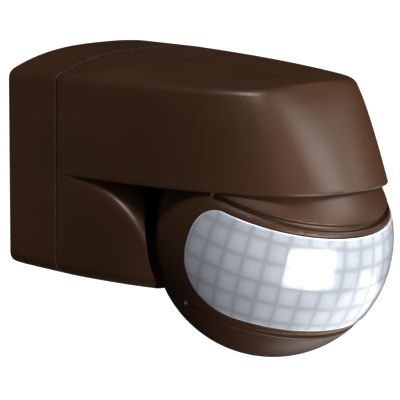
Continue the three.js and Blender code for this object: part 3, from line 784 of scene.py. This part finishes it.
def build_back_cover():
    """The back of the ball head: a hollow cap with a lip that fits into the front."""
    h = head_sizes()
    piece = head_ball("head_rear_cap", h.radius)
    carve(piece, head_ball("hollow", h.radius - h.wall, 60, 120))
    carve(piece, head_box("ahead", (-FAR, -FAR, -FAR), (FAR, SEAM + 0.3 * MM, FAR)))
    loop = [(r * MM, y * MM) for r, y in ((23.8, 19.8), (23.8, 24.4), (22.4, 24.4), (22.4, 19.8))]
    lip = revolved("lip", loop, PIVOT, HEAD_BACK, count=96, closed=True)
    fuse(piece, trim(lip, head_ball("inside", h.radius - h.wall + 0.6 * MM, 60, 120)))
    carve(piece, stem_slot())
    return piece


def ball_degrees(mesh):
    """Longitude and latitude on the head of each vertex of a mesh, in degrees."""
    points = np.empty(len(mesh.vertices) * 3)
    mesh.vertices.foreach_get("co", points)
    local = (points.reshape(-1, 3) - PIVOT) @ np.stack([HEAD_RIGHT, HEAD_BACK, HEAD_UP]).T
    lon = np.degrees(np.arctan2(local[:, 0], -local[:, 1]))
    return lon, np.degrees(np.arcsin(local[:, 2] / np.linalg.norm(local, axis=1)))


def facet_map(mesh):
    """A UV map in facets: one unit is one lens facet, ten degrees each way."""
    facets = np.stack(ball_degrees(mesh), 1) / FACET
    corners = np.empty(len(mesh.loops), int)
    mesh.loops.foreach_get("vertex_index", corners)
    layer = mesh.uv_layers.new(name="facets")
    layer.data.foreach_set("uv", facets[corners].astype(np.float32).ravel())


def mark_rim_highlight(mesh):
    """A rim attribute that masks the painted highlight along the lens's edge: 1 within half a degree of the
    border, eased to 0 at a degree and a half.
    """
    lon, lat = ball_degrees(mesh)
    inside = (np.interp(lat, *window_ends(40)) - np.abs(lon)) * np.cos(np.radians(lat))
    inside = np.minimum(inside, np.minimum(lat - WINDOW["south"], WINDOW["north"] - lat))
    layer = mesh.attributes.new("rim", "FLOAT", "POINT")
    layer.data.foreach_set("value", (1 - eased(inside - 0.5)).astype(np.float32))


def build_lens():
    """The lens: a shell of the window's shape with an eased edge.

    Its facets are on its inner face and are drawn by its material, on the UV map of facets.
    """
    radius = head_sizes().lens
    edge = [(-1.1, -0.35), (-0.3, -0.35), (-0.1, -0.43), (0, -0.7)]
    stations = [(radius + rise * MM, growth) for rise, growth in edge]
    piece = window_body("fresnel_lens", window_plan(30, 210), stations)
    facet_map(piece.data)
    # the rim attribute says where the material paints a pale highlight along the lens's edge
    mark_rim_highlight(piece.data)
    return piece


# ---- small parts
# Profiles as (radius, height) pairs. The dial's and the screw's are in mm, from the face inwards, and
# the dial's third number is its share of the flutes. The grommets' are shares of radius and height.
DIAL = (
    *((0.2, 0.35, 0), (1.9, 0.35, 0), (2.3, 0.3, 0), (2.8, 0.05, 0), (3.2, 0, 0), (4.55, 0, 0)),
    *((4.85, 0.08, 0.4), (5.1, 0.32, 1), (5.15, 0.6, 1), (5.15, 1.8, 1), (5.0, 2.1, 0.6), (4.7, 2.2, 0)),
    *((1.45, 2.2, 0), (1.3, 2.4, 0), (1.3, 8.3, 0), (1.1, 8.5, 0)),
)
SCREW_HEAD = (
    *((0.2, 0), (1.2, 0.02), (2, 0.16), (2.5, 0.42)),
    *((2.72, 0.75), (2.75, 1.1), (2.6, 1.3), (1.35, 1.5)),
)
REAR_GROMMET = (
    *((0.04, 0.62), (0.12, 0.62), (0.14, 0.5), (0.4, 0.5), (0.42, 0.42), (0.6, 0.42), (0.62, 0.3)),
    *((0.78, 0.3), (0.82, 0.06), (0.86, 0), (0.97, 0), (1, 0.05), (1, 0.42), (0.97, 0.47), (0.88, 0.5)),
    *((0.87, 0.97), (0.84, 1), (0.5, 1), (0.48, 0.93), (0.2, 0.93), (0.18, 1), (0.04, 1)),
)
BOTTOM_GROMMET = (
    *((0.1, 0), (0.3, 0), (0.34, 0.02), (0.36, 0.14), (0.5, 0.15), (0.53, 0.17), (0.55, 0.28)),
    *((0.68, 0.29), (0.7, 0.31), (0.7, 0.34), (0.94, 0.35), (0.98, 0.38), (0.98, 0.44)),
    *((0.9, 0.46), (0.76, 0.47), (0.74, 0.49), (0.74, 0.74)),
    *((0.76, 0.78), (0.98, 0.79), (1, 0.82), (1, 0.95), (0.97, 1), (0.1, 1)),
)


def build_dial(name):
    """A dial: a profile turned about its axis, with a dished face, shallow flutes, slot and pointer notch.

    Flutes take 0.14 mm times |cos(15 turn)|^3 off its radius, as much as each profile point says.
    """
    x, face = DIAL_PLACES[name], DIAL_FACE
    turn = np.arange(240) * TAU / 240
    flute = 0.14 * MM * (np.abs(np.cos(turn * 15)) ** 3)
    profile = np.array(DIAL)
    radius = profile[:, 0, None] * MM - profile[:, 2, None] * flute
    z = np.broadcast_to((face + profile[:, 1] * MM)[:, None], radius.shape)
    points = np.stack([radius * np.cos(turn) + x, radius * np.sin(turn) + DIAL_FORWARD, z], -1)
    knob = lattice(name + "_knob", to_world(points), lids=True)
    notches = []
    for half, start, end in ((0.55, -4.3, 4.3), (0.4, -6, -4)):
        near = (x - half * MM, DIAL_FORWARD + start * MM, face - MM)
        far = (x + half * MM, DIAL_FORWARD + end * MM, face + 1.2 * MM)
        notches.append(head_box("notch", near, far))
    return carve(knob, *notches)


def build_dial_ticks():
    """Raised ticks round each dial on the head's underside, longer at both ends and in the middle."""
    h = head_sizes()
    ticks = []
    for x in DIAL_PLACES.values():
        for step in range(7):
            angle = math.radians(-90 + 40 * (step - 3))
            outer = 7.6 if step % 3 == 0 else 7.2
            across = np.array((-math.sin(angle), math.cos(angle))) * 0.18
            along = np.array((math.cos(angle), math.sin(angle)))
            ends = ((6.4, -1), (6.4, 1), (outer, 1), (outer, -1))
            plan = np.array([along * reach + across * side for reach, side in ends]) * MM
            plan = plan + (x, DIAL_FORWARD)
            depth = np.sqrt(np.maximum(h.radius**2 - (plan**2).sum(1), 0))
            rows = [np.column_stack([plan, -depth + drop * MM]) for drop in (-0.1, 0.3)]
            ticks.append(lattice("tick", to_world(np.array(rows)), lids=True))
    return gather("dial_ticks", *ticks)


def build_screw():
    """The housing screw: domed head, chamfered rim, tapered cross recess, threaded shank."""
    lo, hi = low("housing_screw"), high("housing_screw")
    middle, base = (lo + hi)[:2] / 2, lo[2]
    tall = (hi[2] - lo[2]) / MM
    profile = list(SCREW_HEAD)
    for start in 1.6 + 0.6 * np.arange(int((tall - 2.6) / 0.6)):
        profile += [(1.1, start), (1.42, start + 0.3)]
    profile += [(1.1, tall - 1), (0.2, tall)]
    piece = revolved("cover_screw", np.array(profile) * MM, (*middle, base), UP, count=48)
    for size in ((0.32, 1.7), (1.7, 0.32)):
        rows = []
        for z, share in ((-1, 1.2), (0.9, 0.75), (1.35, 0.25)):
            ring = np.array([(-1, -1), (1, -1), (1, 1), (-1, 1)]) * size * (share * MM) + middle
            rows.append(np.column_stack([ring, np.full(4, base + z * MM)]))
        carve(piece, lattice("cross", np.array(rows), lids=True))
    return piece


def build_rear_grommet():
    """The rear cable grommet: a flanged rubber cup with stepped membrane rings to cut for the cable."""
    lo, hi = low("rear_cable_grommet"), high("rear_cable_grommet")
    radius, deep = (hi - lo)[0] / 2, (hi - lo)[1]
    middle = (lo + hi) / 2
    profile = np.array(REAR_GROMMET) * (radius, deep)
    return revolved("rear_grommet", profile, (middle[0], hi[1], middle[2]), WALL_OUT, count=96)


def build_bottom_grommet():
    """The bottom cable grommet: flange, waist and a stepped cone that is cut off to the cable's size."""
    lo, hi = low("bottom_cable_grommet"), high("bottom_cable_grommet")
    radius, tall = (hi - lo)[0] / 2, (hi - lo)[2]
    profile = np.array(BOTTOM_GROMMET) * (radius, tall)
    return revolved("bottom_grommet", profile, (*(lo + hi)[:2] / 2, lo[2]), UP, count=80)


def build_wall_seal():
    """The foam seal in the back face: the base's own outline as a band with eased edges."""
    start, end = -high("wall_seal")[1], -low("wall_seal")[1]
    outer, inner, ease = 3.0 * MM, 5.5 * MM, 0.25 * MM
    path = [(outer, end), (inner, end), (inner, start + ease), (inner - ease, start)]
    path += [(outer + ease, start), (outer, start + ease)]
    return lattice("foam_seal", np.array([base_ring(i, d) for i, d in path]), wrap_rows=True)


# ---- materials
def node(tree, kind, inputs, output=0, **settings):
    """Adds a shader node and gives one of its outputs.

    inputs holds its sockets' values or what feeds them, by name or number; settings its properties.
    Colours are mixed by a Mix node's sockets 0 (share), 6 and 7 (colours), to its output 2.
    """
    made = tree.nodes.new("ShaderNode" + kind)
    for name, value in settings.items():
        setattr(made, name, value)
    for name, value in inputs.items():
        if isinstance(value, bpy.types.NodeSocket):
            tree.links.new(value, made.inputs[name])
        else:
            made.inputs[name].default_value = value
    return made.outputs[output] if made.outputs else None


def every(size, where, **more):
    """Inputs of a pattern whose features are size millimetres apart on Object coordinates."""
    return {"Vector": where, "Scale": 1 / (size * MM), **more}


def start_material(name):
    """A material without nodes, and its tree."""
    made = bpy.data.materials.new(name)
    made.use_nodes = True
    made.node_tree.nodes.clear()
    return made, made.node_tree


def end_material(made, tree, **sockets):
    """Adds the shader and the output; a socket's name is written with _ for a space."""
    inputs = {name.replace("_", " "): value for name, value in sockets.items()}
    node(tree, "OutputMaterial", {"Surface": node(tree, "BsdfPrincipled", inputs)})
    return made


def darker(value, factor):
    """A linear colour times a factor; one above 1 makes it paler."""
    return tuple(c * factor for c in value[:3]) + (1.0,)


def casing_plastic():
    """Moulded ABS, spark-eroded tool: a fine even grain, satin sheen and slight shading where it flowed.

    The real grain is about 0.15 mm; it is drawn at 0.55 mm so that it shows.
    """
    made, tree = start_material("moulded_brown_abs")
    where = node(tree, "TexCoord", {}, "Object")
    base = tuple(bpy.context.scene.finishes.casing)
    flow = node(tree, "TexNoise", every(26, where))
    flow = node(tree, "MapRange", {"Value": flow, "From Min": 0.35, "From Max": 0.65})
    tone = node(tree, "Mix", {0: flow, 6: darker(base, 0.9), 7: darker(base, 1.1)}, 2, data_type="RGBA")
    specks = node(tree, "TexNoise", every(0.5, where, Roughness=0.6))
    specks = node(tree, "MapRange", {"Value": specks, "From Min": 0.52, "From Max": 0.72, "To Max": 0.35})
    tone = node(tree, "Mix", {0: specks, 6: tone, 7: darker(base, 1.35)}, 2, data_type="RGBA")
    sheen = {"Value": node(tree, "TexNoise", every(5, where, Detail=3))}
    sheen |= {"From Min": 0.3, "From Max": 0.7, "To Min": 0.39, "To Max": 0.44}
    waves = node(tree, "TexNoise", every(18, where, Detail=1))
    waves = {"Height": waves, "Distance": 0.2 * MM, "Strength": 0.05}
    grain = {"Height": node(tree, "TexNoise", every(0.55, where, Detail=3, Roughness=0.62))}
    grain |= {"Distance": 0.05 * MM, "Strength": 0.9, "Normal": node(tree, "Bump", waves)}
    normal = node(tree, "Bump", grain)
    rough = node(tree, "MapRange", sheen)
    return end_material(made, tree, Base_Color=tone, Roughness=rough, IOR=1.53, Normal=normal)


def lens_plastic():
    """Moulded HDPE film: milky and glossy, with its inner facets' borders and rings showing through, a soft
    painted glow in the middle of each facet and a pale painted highlight along its edge.
    """
    made, tree = start_material("milky_hdpe")
    where = node(tree, "TexCoord", {}, "Object")
    facets = node(tree, "UVMap", {}, uv_map="facets")
    cell = node(tree, "VectorMath", {0: facets}, operation="FLOOR")
    inside = node(tree, "VectorMath", {0: facets}, operation="FRACTION")
    centred = node(tree, "VectorMath", {0: inside, 1: (0.5, 0.5, 0)}, operation="SUBTRACT")
    sides = node(tree, "VectorMath", {0: centred}, operation="ABSOLUTE")
    sides = {i: node(tree, "SeparateXYZ", {0: sides}, i) for i in (0, 1)}
    edge = node(tree, "Math", sides, operation="MAXIMUM")
    borders = node(tree, "MapRange", {"Value": edge, "From Min": 0.3, "From Max": 0.5})
    reach = node(tree, "VectorMath", {0: centred}, "Value", operation="LENGTH")
    rings = node(tree, "Math", {0: reach, 1: 46.0}, operation="MULTIPLY")
    rings = node(tree, "Math", {0: rings}, operation="SINE")
    own = node(tree, "TexWhiteNoise", {"Vector": cell}, noise_dimensions="2D")
    # the rim mask: where a pale painted highlight runs along the lens's edge
    rim = node(tree, "Attribute", {}, "Fac", attribute_name="rim")
    base = tuple(bpy.context.scene.finishes.lens)
    tone = node(tree, "Mix", {0: own, 6: darker(base, 0.94), 7: darker(base, 1.06)}, 2, data_type="RGBA")
    facet_marks_and_painted_light = (
        # a soft white painted glow in the middle of each facet, standing in for the light each facet gathers
        ({"Value": reach, "From Max": 0.6, "To Min": 0.1, "To Max": 0}, from_hex("ffffff")),
        ({"Value": rings, "From Min": -1, "To Max": 0.05}, darker(base, 0.6)),
        ({"Value": borders, "To Max": 0.24}, from_hex("6a6772")),
        # pale painted highlight along the lens's edge
        ({"Value": rim, "To Max": 0.75}, from_hex("dfe3e8")),
    )
    for share, paint in facet_marks_and_painted_light:
        share = node(tree, "MapRange", share)
        tone = node(tree, "Mix", {0: share, 6: tone, 7: paint}, 2, data_type="RGBA")
    normal = node(tree, "Bump", {"Height": borders, "Distance": 0.06 * MM, "Strength": 0.3})
    waves = node(tree, "TexNoise", every(9, where, Detail=1))
    waves = {"Height": waves, "Distance": 0.08 * MM, "Strength": 0.12, "Normal": normal}
    sheen = {"Value": node(tree, "TexNoise", every(3, where)), "From Min": 0.3, "From Max": 0.7}
    rough = node(tree, "MapRange", sheen | {"To Min": 0.13, "To Max": 0.19})
    return end_material(
        made,
        tree,
        Base_Color=tone,
        Roughness=rough,
        IOR=1.54,
        Normal=node(tree, "Bump", waves),
        Subsurface_Weight=0.25,
        Subsurface_Radius=(1.0, 1.0, 1.1),
        Subsurface_Scale=0.0015,
    )


def plain_material(name, value, rough, patch, spots, grain, depth, tones, sheens, **sockets):
    """A material of one colour: patches of two tones, spots of more or less sheen, and a fine grain.

    patch, spots and grain are the features' sizes in mm, and depth is the grain's.
    """
    made, tree = start_material(name)
    where = node(tree, "TexCoord", {}, "Object")
    base = from_hex(value)
    share = node(tree, "TexNoise", every(patch[0], where, Detail=patch[1]))
    mixed = {0: share, 6: darker(base, tones[0]), 7: darker(base, tones[1])}
    tone = node(tree, "Mix", mixed, 2, data_type="RGBA")
    sheen = {"Value": node(tree, "TexNoise", every(spots[0], where, Detail=spots[1]))}
    sheen |= {"From Min": 0.3, "From Max": 0.7, "To Min": rough + sheens[0], "To Max": rough + sheens[1]}
    height = node(tree, "TexNoise", every(grain, where))
    normal = node(tree, "Bump", {"Height": height, "Distance": depth * MM, "Strength": 0.4})
    rough = node(tree, "MapRange", sheen)
    return end_material(made, tree, Base_Color=tone, Roughness=rough, Normal=normal, **sockets)


def moulded(name, value, rough, grain, depth=0.03):
    """Small moulded or dipped parts: one colour with a light grain and a slightly uneven sheen."""
    tones, sheens = (0.85, 1.15), (-0.05, 0.07)
    return plain_material(name, value, rough, (4, 2), (1.5, 2), grain, depth, tones, sheens, IOR=1.5)


def metal(name, value, rough, line):
    """Plated or turned metal: fine tool marks and darker stains, which dull it in spots."""
    tones, sheens = (0.78, 1), (-0.08, 0.12)
    return plain_material(name, value, rough, (1.2, 3), (0.8, 3), line, 0.01, tones, sheens, Metallic=1.0)


def glass_epoxy():
    """FR4 board: green solder mask, paler where copper lies under it, over a glass cloth.

    The cloth's bands are drawn 15 mm apart, which is 2 pi / 10 of 24 mm, so that they show.
    """
    made, tree = start_material("glass_epoxy_board")
    where = node(tree, "TexCoord", {}, "Object")
    base = from_hex("1f5c38")
    cloth = node(tree, "TexWave", every(24, where, Distortion=0.4), "Fac", bands_direction="DIAGONAL")
    copper = node(tree, "TexBrick", {**every(5, where), "Mortar Size": 0.04}, "Fac")
    copper = node(tree, "MapRange", {"Value": copper, "To Max": 0.4})
    tone = node(tree, "Mix", {0: cloth, 6: darker(base, 0.85), 7: darker(base, 1.1)}, 2, data_type="RGBA")
    tone = node(tree, "Mix", {0: copper, 6: tone, 7: from_hex("4f8a4c")}, 2, data_type="RGBA")
    normal = node(tree, "Bump", {"Height": cloth, "Distance": 0.02 * MM, "Strength": 0.3})
    return end_material(made, tree, Base_Color=tone, Roughness=0.35, Coat_Weight=0.4, Normal=normal)


def lamp_resin(name, value):
    """Clear cast epoxy of the lamp and the light sensor: glassy, with a faint cloud in it."""
    made, tree = start_material(name)
    where = node(tree, "TexCoord", {}, "Object")
    base = from_hex(value)
    cloud = node(tree, "TexNoise", every(1, where))
    tone = node(tree, "Mix", {0: cloud, 6: darker(base, 0.9), 7: base}, 2, data_type="RGBA")
    return end_material(made, tree, Base_Color=tone, Roughness=0.08, IOR=1.55, Transmission_Weight=0.8)


def foam_rubber():
    """Closed-cell EPDM foam: dark, matt, with 0.6 mm cells open on the cut faces."""
    made, tree = start_material("epdm_foam")
    where = node(tree, "TexCoord", {}, "Object")
    foam = node(tree, "TexVoronoi", every(0.6, where), "Distance")
    share = node(tree, "MapRange", {"Value": foam, "From Max": 0.7})
    tone = node(tree, "Mix", {0: share, 6: from_hex("141312"), 7: from_hex("302c29")}, 2, data_type="RGBA")
    normal = node(tree, "Bump", {"Height": foam, "Distance": 0.12 * MM, "Strength": 0.6})
    return end_material(made, tree, Base_Color=tone, Roughness=0.92, Normal=normal)


FINISHES = {}


def make_materials():
    """One material for each of the record's slots, and the foam that only the wall seal has."""
    FINISHES.update(
        brown_plastic=casing_plastic(),
        lens_plastic=lens_plastic(),
        black_plastic=moulded("moulded_black_nylon", "1c1b1a", 0.42, 0.5),
        rubber=moulded("moulded_epdm_rubber", "2a2624", 0.75, 0.35, 0.05),
        steel=metal("zinc_plated_steel", "b6bbbf", 0.3, 0.25),
        brass=metal("turned_brass", "b89a52", 0.28, 0.2),
        grey_plastic=moulded("moulded_grey_polyamide", "8b8e90", 0.45, 0.5),
        circuit_board=glass_epoxy(),
        blue_component=moulded("dipped_blue_epoxy", "21407c", 0.3, 1.2),
        orange_component=moulded("dipped_orange_epoxy", "d9822b", 0.28, 1.4),
        red_lamp=lamp_resin("cast_red_epoxy", "b02020"),
        clear_lamp=lamp_resin("cast_clear_epoxy", "e4e8ee"),
        foam=foam_rubber(),
    )


# ---- stage
# Target and distance in mm, angles in degrees.
VIEW = {
    "target": (24.3, -19.9, -14.8),
    "azimuth": 44.06,
    "elevation": 8.815,
    "distance": 1110.0,
    "lens": 321.3,
}
FLOOR_DROP = 1.6
SET_RADIUS = 3.4
MIDDLE = (0.0, -0.06, -0.01)
# Lamps aimed at the middle: name, place, width, height, radiance and what sees them.
LAMPS = (
    ("fill", (1.25, -0.55, -0.30), 0.6, 0.9, 0.8, {}),
    ("front_high", (0.50, -1.00, 0.60), 0.8, 0.5, 7.5, {}),
    ("bounce", (0.45, -0.15, -0.55), 0.7, 0.7, 1.9, {}),
    ("overhead", (-0.34, -0.30, 0.92), 0.25, 0.35, 32.0, {}),
    ("key", (-0.10, -1.05, -0.30), 0.7, 0.6, 13.0, {"glossy": False}),
    ("back", (0.5, 1.1, -0.4), 0.6, 0.6, 2.5, {"glossy": False}),
)
MIRRORED_REACH = 0.62


def view_direction():
    """Unit vector from the camera to its target."""
    azimuth, elevation = math.radians(VIEW["azimuth"]), math.radians(VIEW["elevation"])
    flat = math.cos(elevation)
    return np.array((flat * math.sin(azimuth), flat * math.cos(azimuth), -math.sin(elevation)))


def view_point():
    return np.array(VIEW["target"]) * MM - view_direction() * VIEW["distance"] * MM


def aim(thing, place, target):
    """Puts a camera or lamp at a place, looking at a target with +Z up."""
    thing.location = place
    ahead = Vector(target) - Vector(place)
    thing.rotation_euler = ahead.to_track_quat("-Z", "Y").to_euler()


def softbox(name, place, target, width, height, radiance, **seen):
    """A rectangular lamp of a given radiance: its power is radiance times pi times its area.

    seen holds whether diffuse or glossy surfaces see it, such as glossy=False.
    """
    lamp = bpy.data.lights.new(name, "AREA")
    lamp.shape = "RECTANGLE"
    lamp.size, lamp.size_y = width, height
    lamp.energy = radiance * math.pi * width * height
    box = bpy.data.objects.new(name, lamp)
    bpy.context.scene.collection.objects.link(box)
    aim(box, place, target)
    box.visible_camera = False
    for ray, value in seen.items():
        setattr(box, "visible_" + ray, value)


def mirrored(lon, lat):
    """Place on the lens at a longitude and latitude, and the direction of the room seen mirrored there."""
    normal = to_world(on_ball(1.0, lon, lat), 0)
    place = PIVOT + normal * head_sizes().lens
    to_camera = view_point() - place
    to_camera /= np.linalg.norm(to_camera)
    return place, 2 * (normal @ to_camera) * normal - to_camera


def build_floor():
    """Pale floor that sweeps up into a closed dome, a profile turned about Z; it glows evenly."""
    angle = np.linspace(0, math.pi / 2, 16)
    flat = SET_RADIUS - 1
    profile = [(0.01, -FLOOR_DROP), (flat, -FLOOR_DROP)]
    profile += [(flat + math.sin(a), -FLOOR_DROP + 1 - math.cos(a)) for a in angle[1:]]
    profile += [(SET_RADIUS * math.cos(a), 2 + 2 * math.sin(a)) for a in angle[:-1]]
    profile = np.array(profile + [(0.01, 4.0)])
    turn = np.arange(97) * TAU / 96
    ring = np.stack([np.cos(turn), np.sin(turn), np.zeros(97)], -1)
    points = profile[:, 0, None, None] * ring + profile[:, 1, None, None] * np.array(UP)
    floor = sheets("studio_floor", points)
    floor.data.shade_smooth()
    made, tree = start_material("painted_floor")
    pale = tuple(bpy.context.scene.finishes.floor) + (1.0,)
    end_material(made, tree, Base_Color=pale, Roughness=0.9, Emission_Color=pale, Emission_Strength=1.15)
    floor.data.materials.append(made)
    floor.visible_diffuse = False
    floor.visible_glossy = False
    floor.visible_transmission = False


def build_world():
    """A faint even light from all round."""
    world = bpy.data.worlds.new("room")
    world.use_nodes = True
    background = world.node_tree.nodes["Background"].inputs
    background["Color"].default_value = from_hex("f4f2ef")
    background["Strength"].default_value = 0.012
    bpy.context.scene.world = world


def angle_between(first, second):
    return math.acos(min(1, first @ second))


def build_lamps():
    """The soft lamps, and the one that the camera sees mirrored in the lens."""
    for name, place, width, height, radiance, seen in LAMPS:
        softbox(name, place, MIDDLE, width, height, radiance, **seen)
    softbox("rear_left", (-0.095, 0.030, 0.0), (-0.037, -0.004, 0.0), 0.02, 0.06, 7.0, glossy=False)
    place, centre = mirrored(-28.0, 10.0)
    west, east, south, north = (mirrored(*at)[1] for at in ((-41, 10), (-15.5, 10), (-28, 0.5), (-28, 20)))
    wide = MIRRORED_REACH * 2 * math.tan(angle_between(west, east) / 2)
    tall = MIRRORED_REACH * 2 * math.tan(angle_between(south, north) / 2)
    softbox("mirrored_box", place + centre * MIRRORED_REACH, place, wide, tall, 9.5, diffuse=False)


def build_camera():
    scene = bpy.context.scene
    camera = bpy.data.cameras.new("camera")
    camera.lens = VIEW["lens"]
    camera.sensor_width = 36.0
    camera.clip_start, camera.clip_end = 0.05, 60.0
    eye = bpy.data.objects.new("camera", camera)
    scene.collection.objects.link(eye)
    aim(eye, view_point(), np.array(VIEW["target"]) * MM)
    scene.camera = eye


def build_stage():
    """Floor, light, camera and how the picture is shown: a gamma below 1 deepens the dark tones."""
    build_floor()
    build_world()
    build_lamps()
    build_camera()
    view = bpy.context.scene.view_settings
    view.view_transform = "Standard"
    view.gamma = 0.82


# ---- operators
class PieceOperator:
    """An operator runs its build, and an error in it is raised"""

    bl_options = {"REGISTER", "UNDO"}

    def execute(self, context):
        self.build()
        return {"FINISHED"}


class SENSOR_OT_materials(PieceOperator, bpy.types.Operator):
    """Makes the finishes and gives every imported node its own"""

    bl_idname = "sensor.materials"
    bl_label = "Finishes"

    def build(self):
        make_materials()
        for part in frame["record"]["subparts"]:
            mesh = frame["nodes"][part["node"]].data
            mesh.materials.clear()
            mesh.materials.append(FINISHES[part["material_slot"]])


class SENSOR_OT_wall_base(PieceOperator, bpy.types.Operator):
    """Builds the wall base's casing"""

    bl_idname = "sensor.wall_base"
    bl_label = "Wall base"

    def build(self):
        finish(build_wall_base(), FINISHES["brown_plastic"], "housing", "brown_plastic", "wall_base")


class SENSOR_OT_front_housing(PieceOperator, bpy.types.Operator):
    """Builds the hood and neck of the front housing"""

    bl_idname = "sensor.front_housing"
    bl_label = "Front housing"

    def build(self):
        brown = FINISHES["brown_plastic"]
        finish(build_front_housing(), brown, "housing", "brown_plastic", "front_housing")


class SENSOR_OT_head(PieceOperator, bpy.types.Operator):
    """Builds the two halves of the ball head"""

    bl_idname = "sensor.head"
    bl_label = "Ball head"

    def build(self):
        brown = FINISHES["brown_plastic"]
        finish(build_head_shell(), brown, "head", "brown_plastic", "head_shell")
        finish(build_back_cover(), brown, "head", "brown_plastic", "head_back_cover")
        finish(build_dial_ticks(), FINISHES["grey_plastic"], "head", "grey_plastic")


class SENSOR_OT_lens(PieceOperator, bpy.types.Operator):
    """Builds the faceted lens"""

    bl_idname = "sensor.lens"
    bl_label = "Lens"

    def build(self):
        finish(build_lens(), FINISHES["lens_plastic"], "head", "lens_plastic", "lens")


class SENSOR_OT_dials(PieceOperator, bpy.types.Operator):
    """Builds the time and light dials under the head"""

    bl_idname = "sensor.dials"
    bl_label = "Dials"

    def build(self):
        black = FINISHES["black_plastic"]
        finish(build_dial("time_dial"), black, "time_setting", "black_plastic", "time_dial")
        finish(build_dial("light_dial"), black, "light_setting", "black_plastic", "light_dial")


class SENSOR_OT_small_parts(PieceOperator, bpy.types.Operator):
    """Builds the housing screw, the cable grommets and the wall seal"""

    bl_idname = "sensor.small_parts"
    bl_label = "Small parts"

    def build(self):
        rubber = FINISHES["rubber"]
        finish(build_screw(), FINISHES["steel"], "housing", "steel", "housing_screw")
        finish(build_rear_grommet(), rubber, "housing", "rubber", "rear_cable_grommet")
        finish(build_bottom_grommet(), rubber, "housing", "rubber", "bottom_cable_grommet")
        finish(build_wall_seal(), FINISHES["foam"], "housing", "rubber", "wall_seal")


class SENSOR_OT_stage(PieceOperator, bpy.types.Operator):
    """Sets the floor, the lamps and the camera"""

    bl_idname = "sensor.stage"
    bl_label = "Stage"

    def build(self):
        build_stage()


OPERATORS = (
    SENSOR_OT_materials,
    SENSOR_OT_wall_base,
    SENSOR_OT_front_housing,
    SENSOR_OT_head,
    SENSOR_OT_lens,
    SENSOR_OT_dials,
    SENSOR_OT_small_parts,
    SENSOR_OT_stage,
)


class SENSOR_PT_panel(bpy.types.Panel):
    """Lists the sensor's sizes, colours and pieces"""

    bl_label = "Motion sensor"
    bl_idname = "SENSOR_PT_panel"
    bl_space_type = "VIEW_3D"
    bl_region_type = "UI"
    bl_category = "Motion sensor"

    def draw(self, context):
        scene = context.scene
        for group in (scene.casing_sizes, scene.head_sizes, scene.finishes):
            column = self.layout.column(align=True)
            for name in group.__annotations__:
                column.prop(group, name)
        for operator in OPERATORS:
            self.layout.operator(operator.bl_idname)


CLASSES = (CasingSizes, HeadSizes, Finishes, *OPERATORS, SENSOR_PT_panel)


def register():
    for item in CLASSES:
        bpy.utils.register_class(item)
    bpy.types.Scene.casing_sizes = bpy.props.PointerProperty(type=CasingSizes)
    bpy.types.Scene.head_sizes = bpy.props.PointerProperty(type=HeadSizes)
    bpy.types.Scene.finishes = bpy.props.PointerProperty(type=Finishes)


def unregister():
    del bpy.types.Scene.finishes
    del bpy.types.Scene.head_sizes
    del bpy.types.Scene.casing_sizes
    for item in reversed(CLASSES):
        bpy.utils.unregister_class(item)


def main():
    register()
    bpy.ops.sensor.materials()
    bpy.ops.sensor.wall_base()
    bpy.ops.sensor.front_housing()
    bpy.ops.sensor.head()
    bpy.ops.sensor.lens()
    bpy.ops.sensor.dials()
    bpy.ops.sensor.small_parts()
    bpy.ops.sensor.stage()


if __name__ == "__main__":
    main()
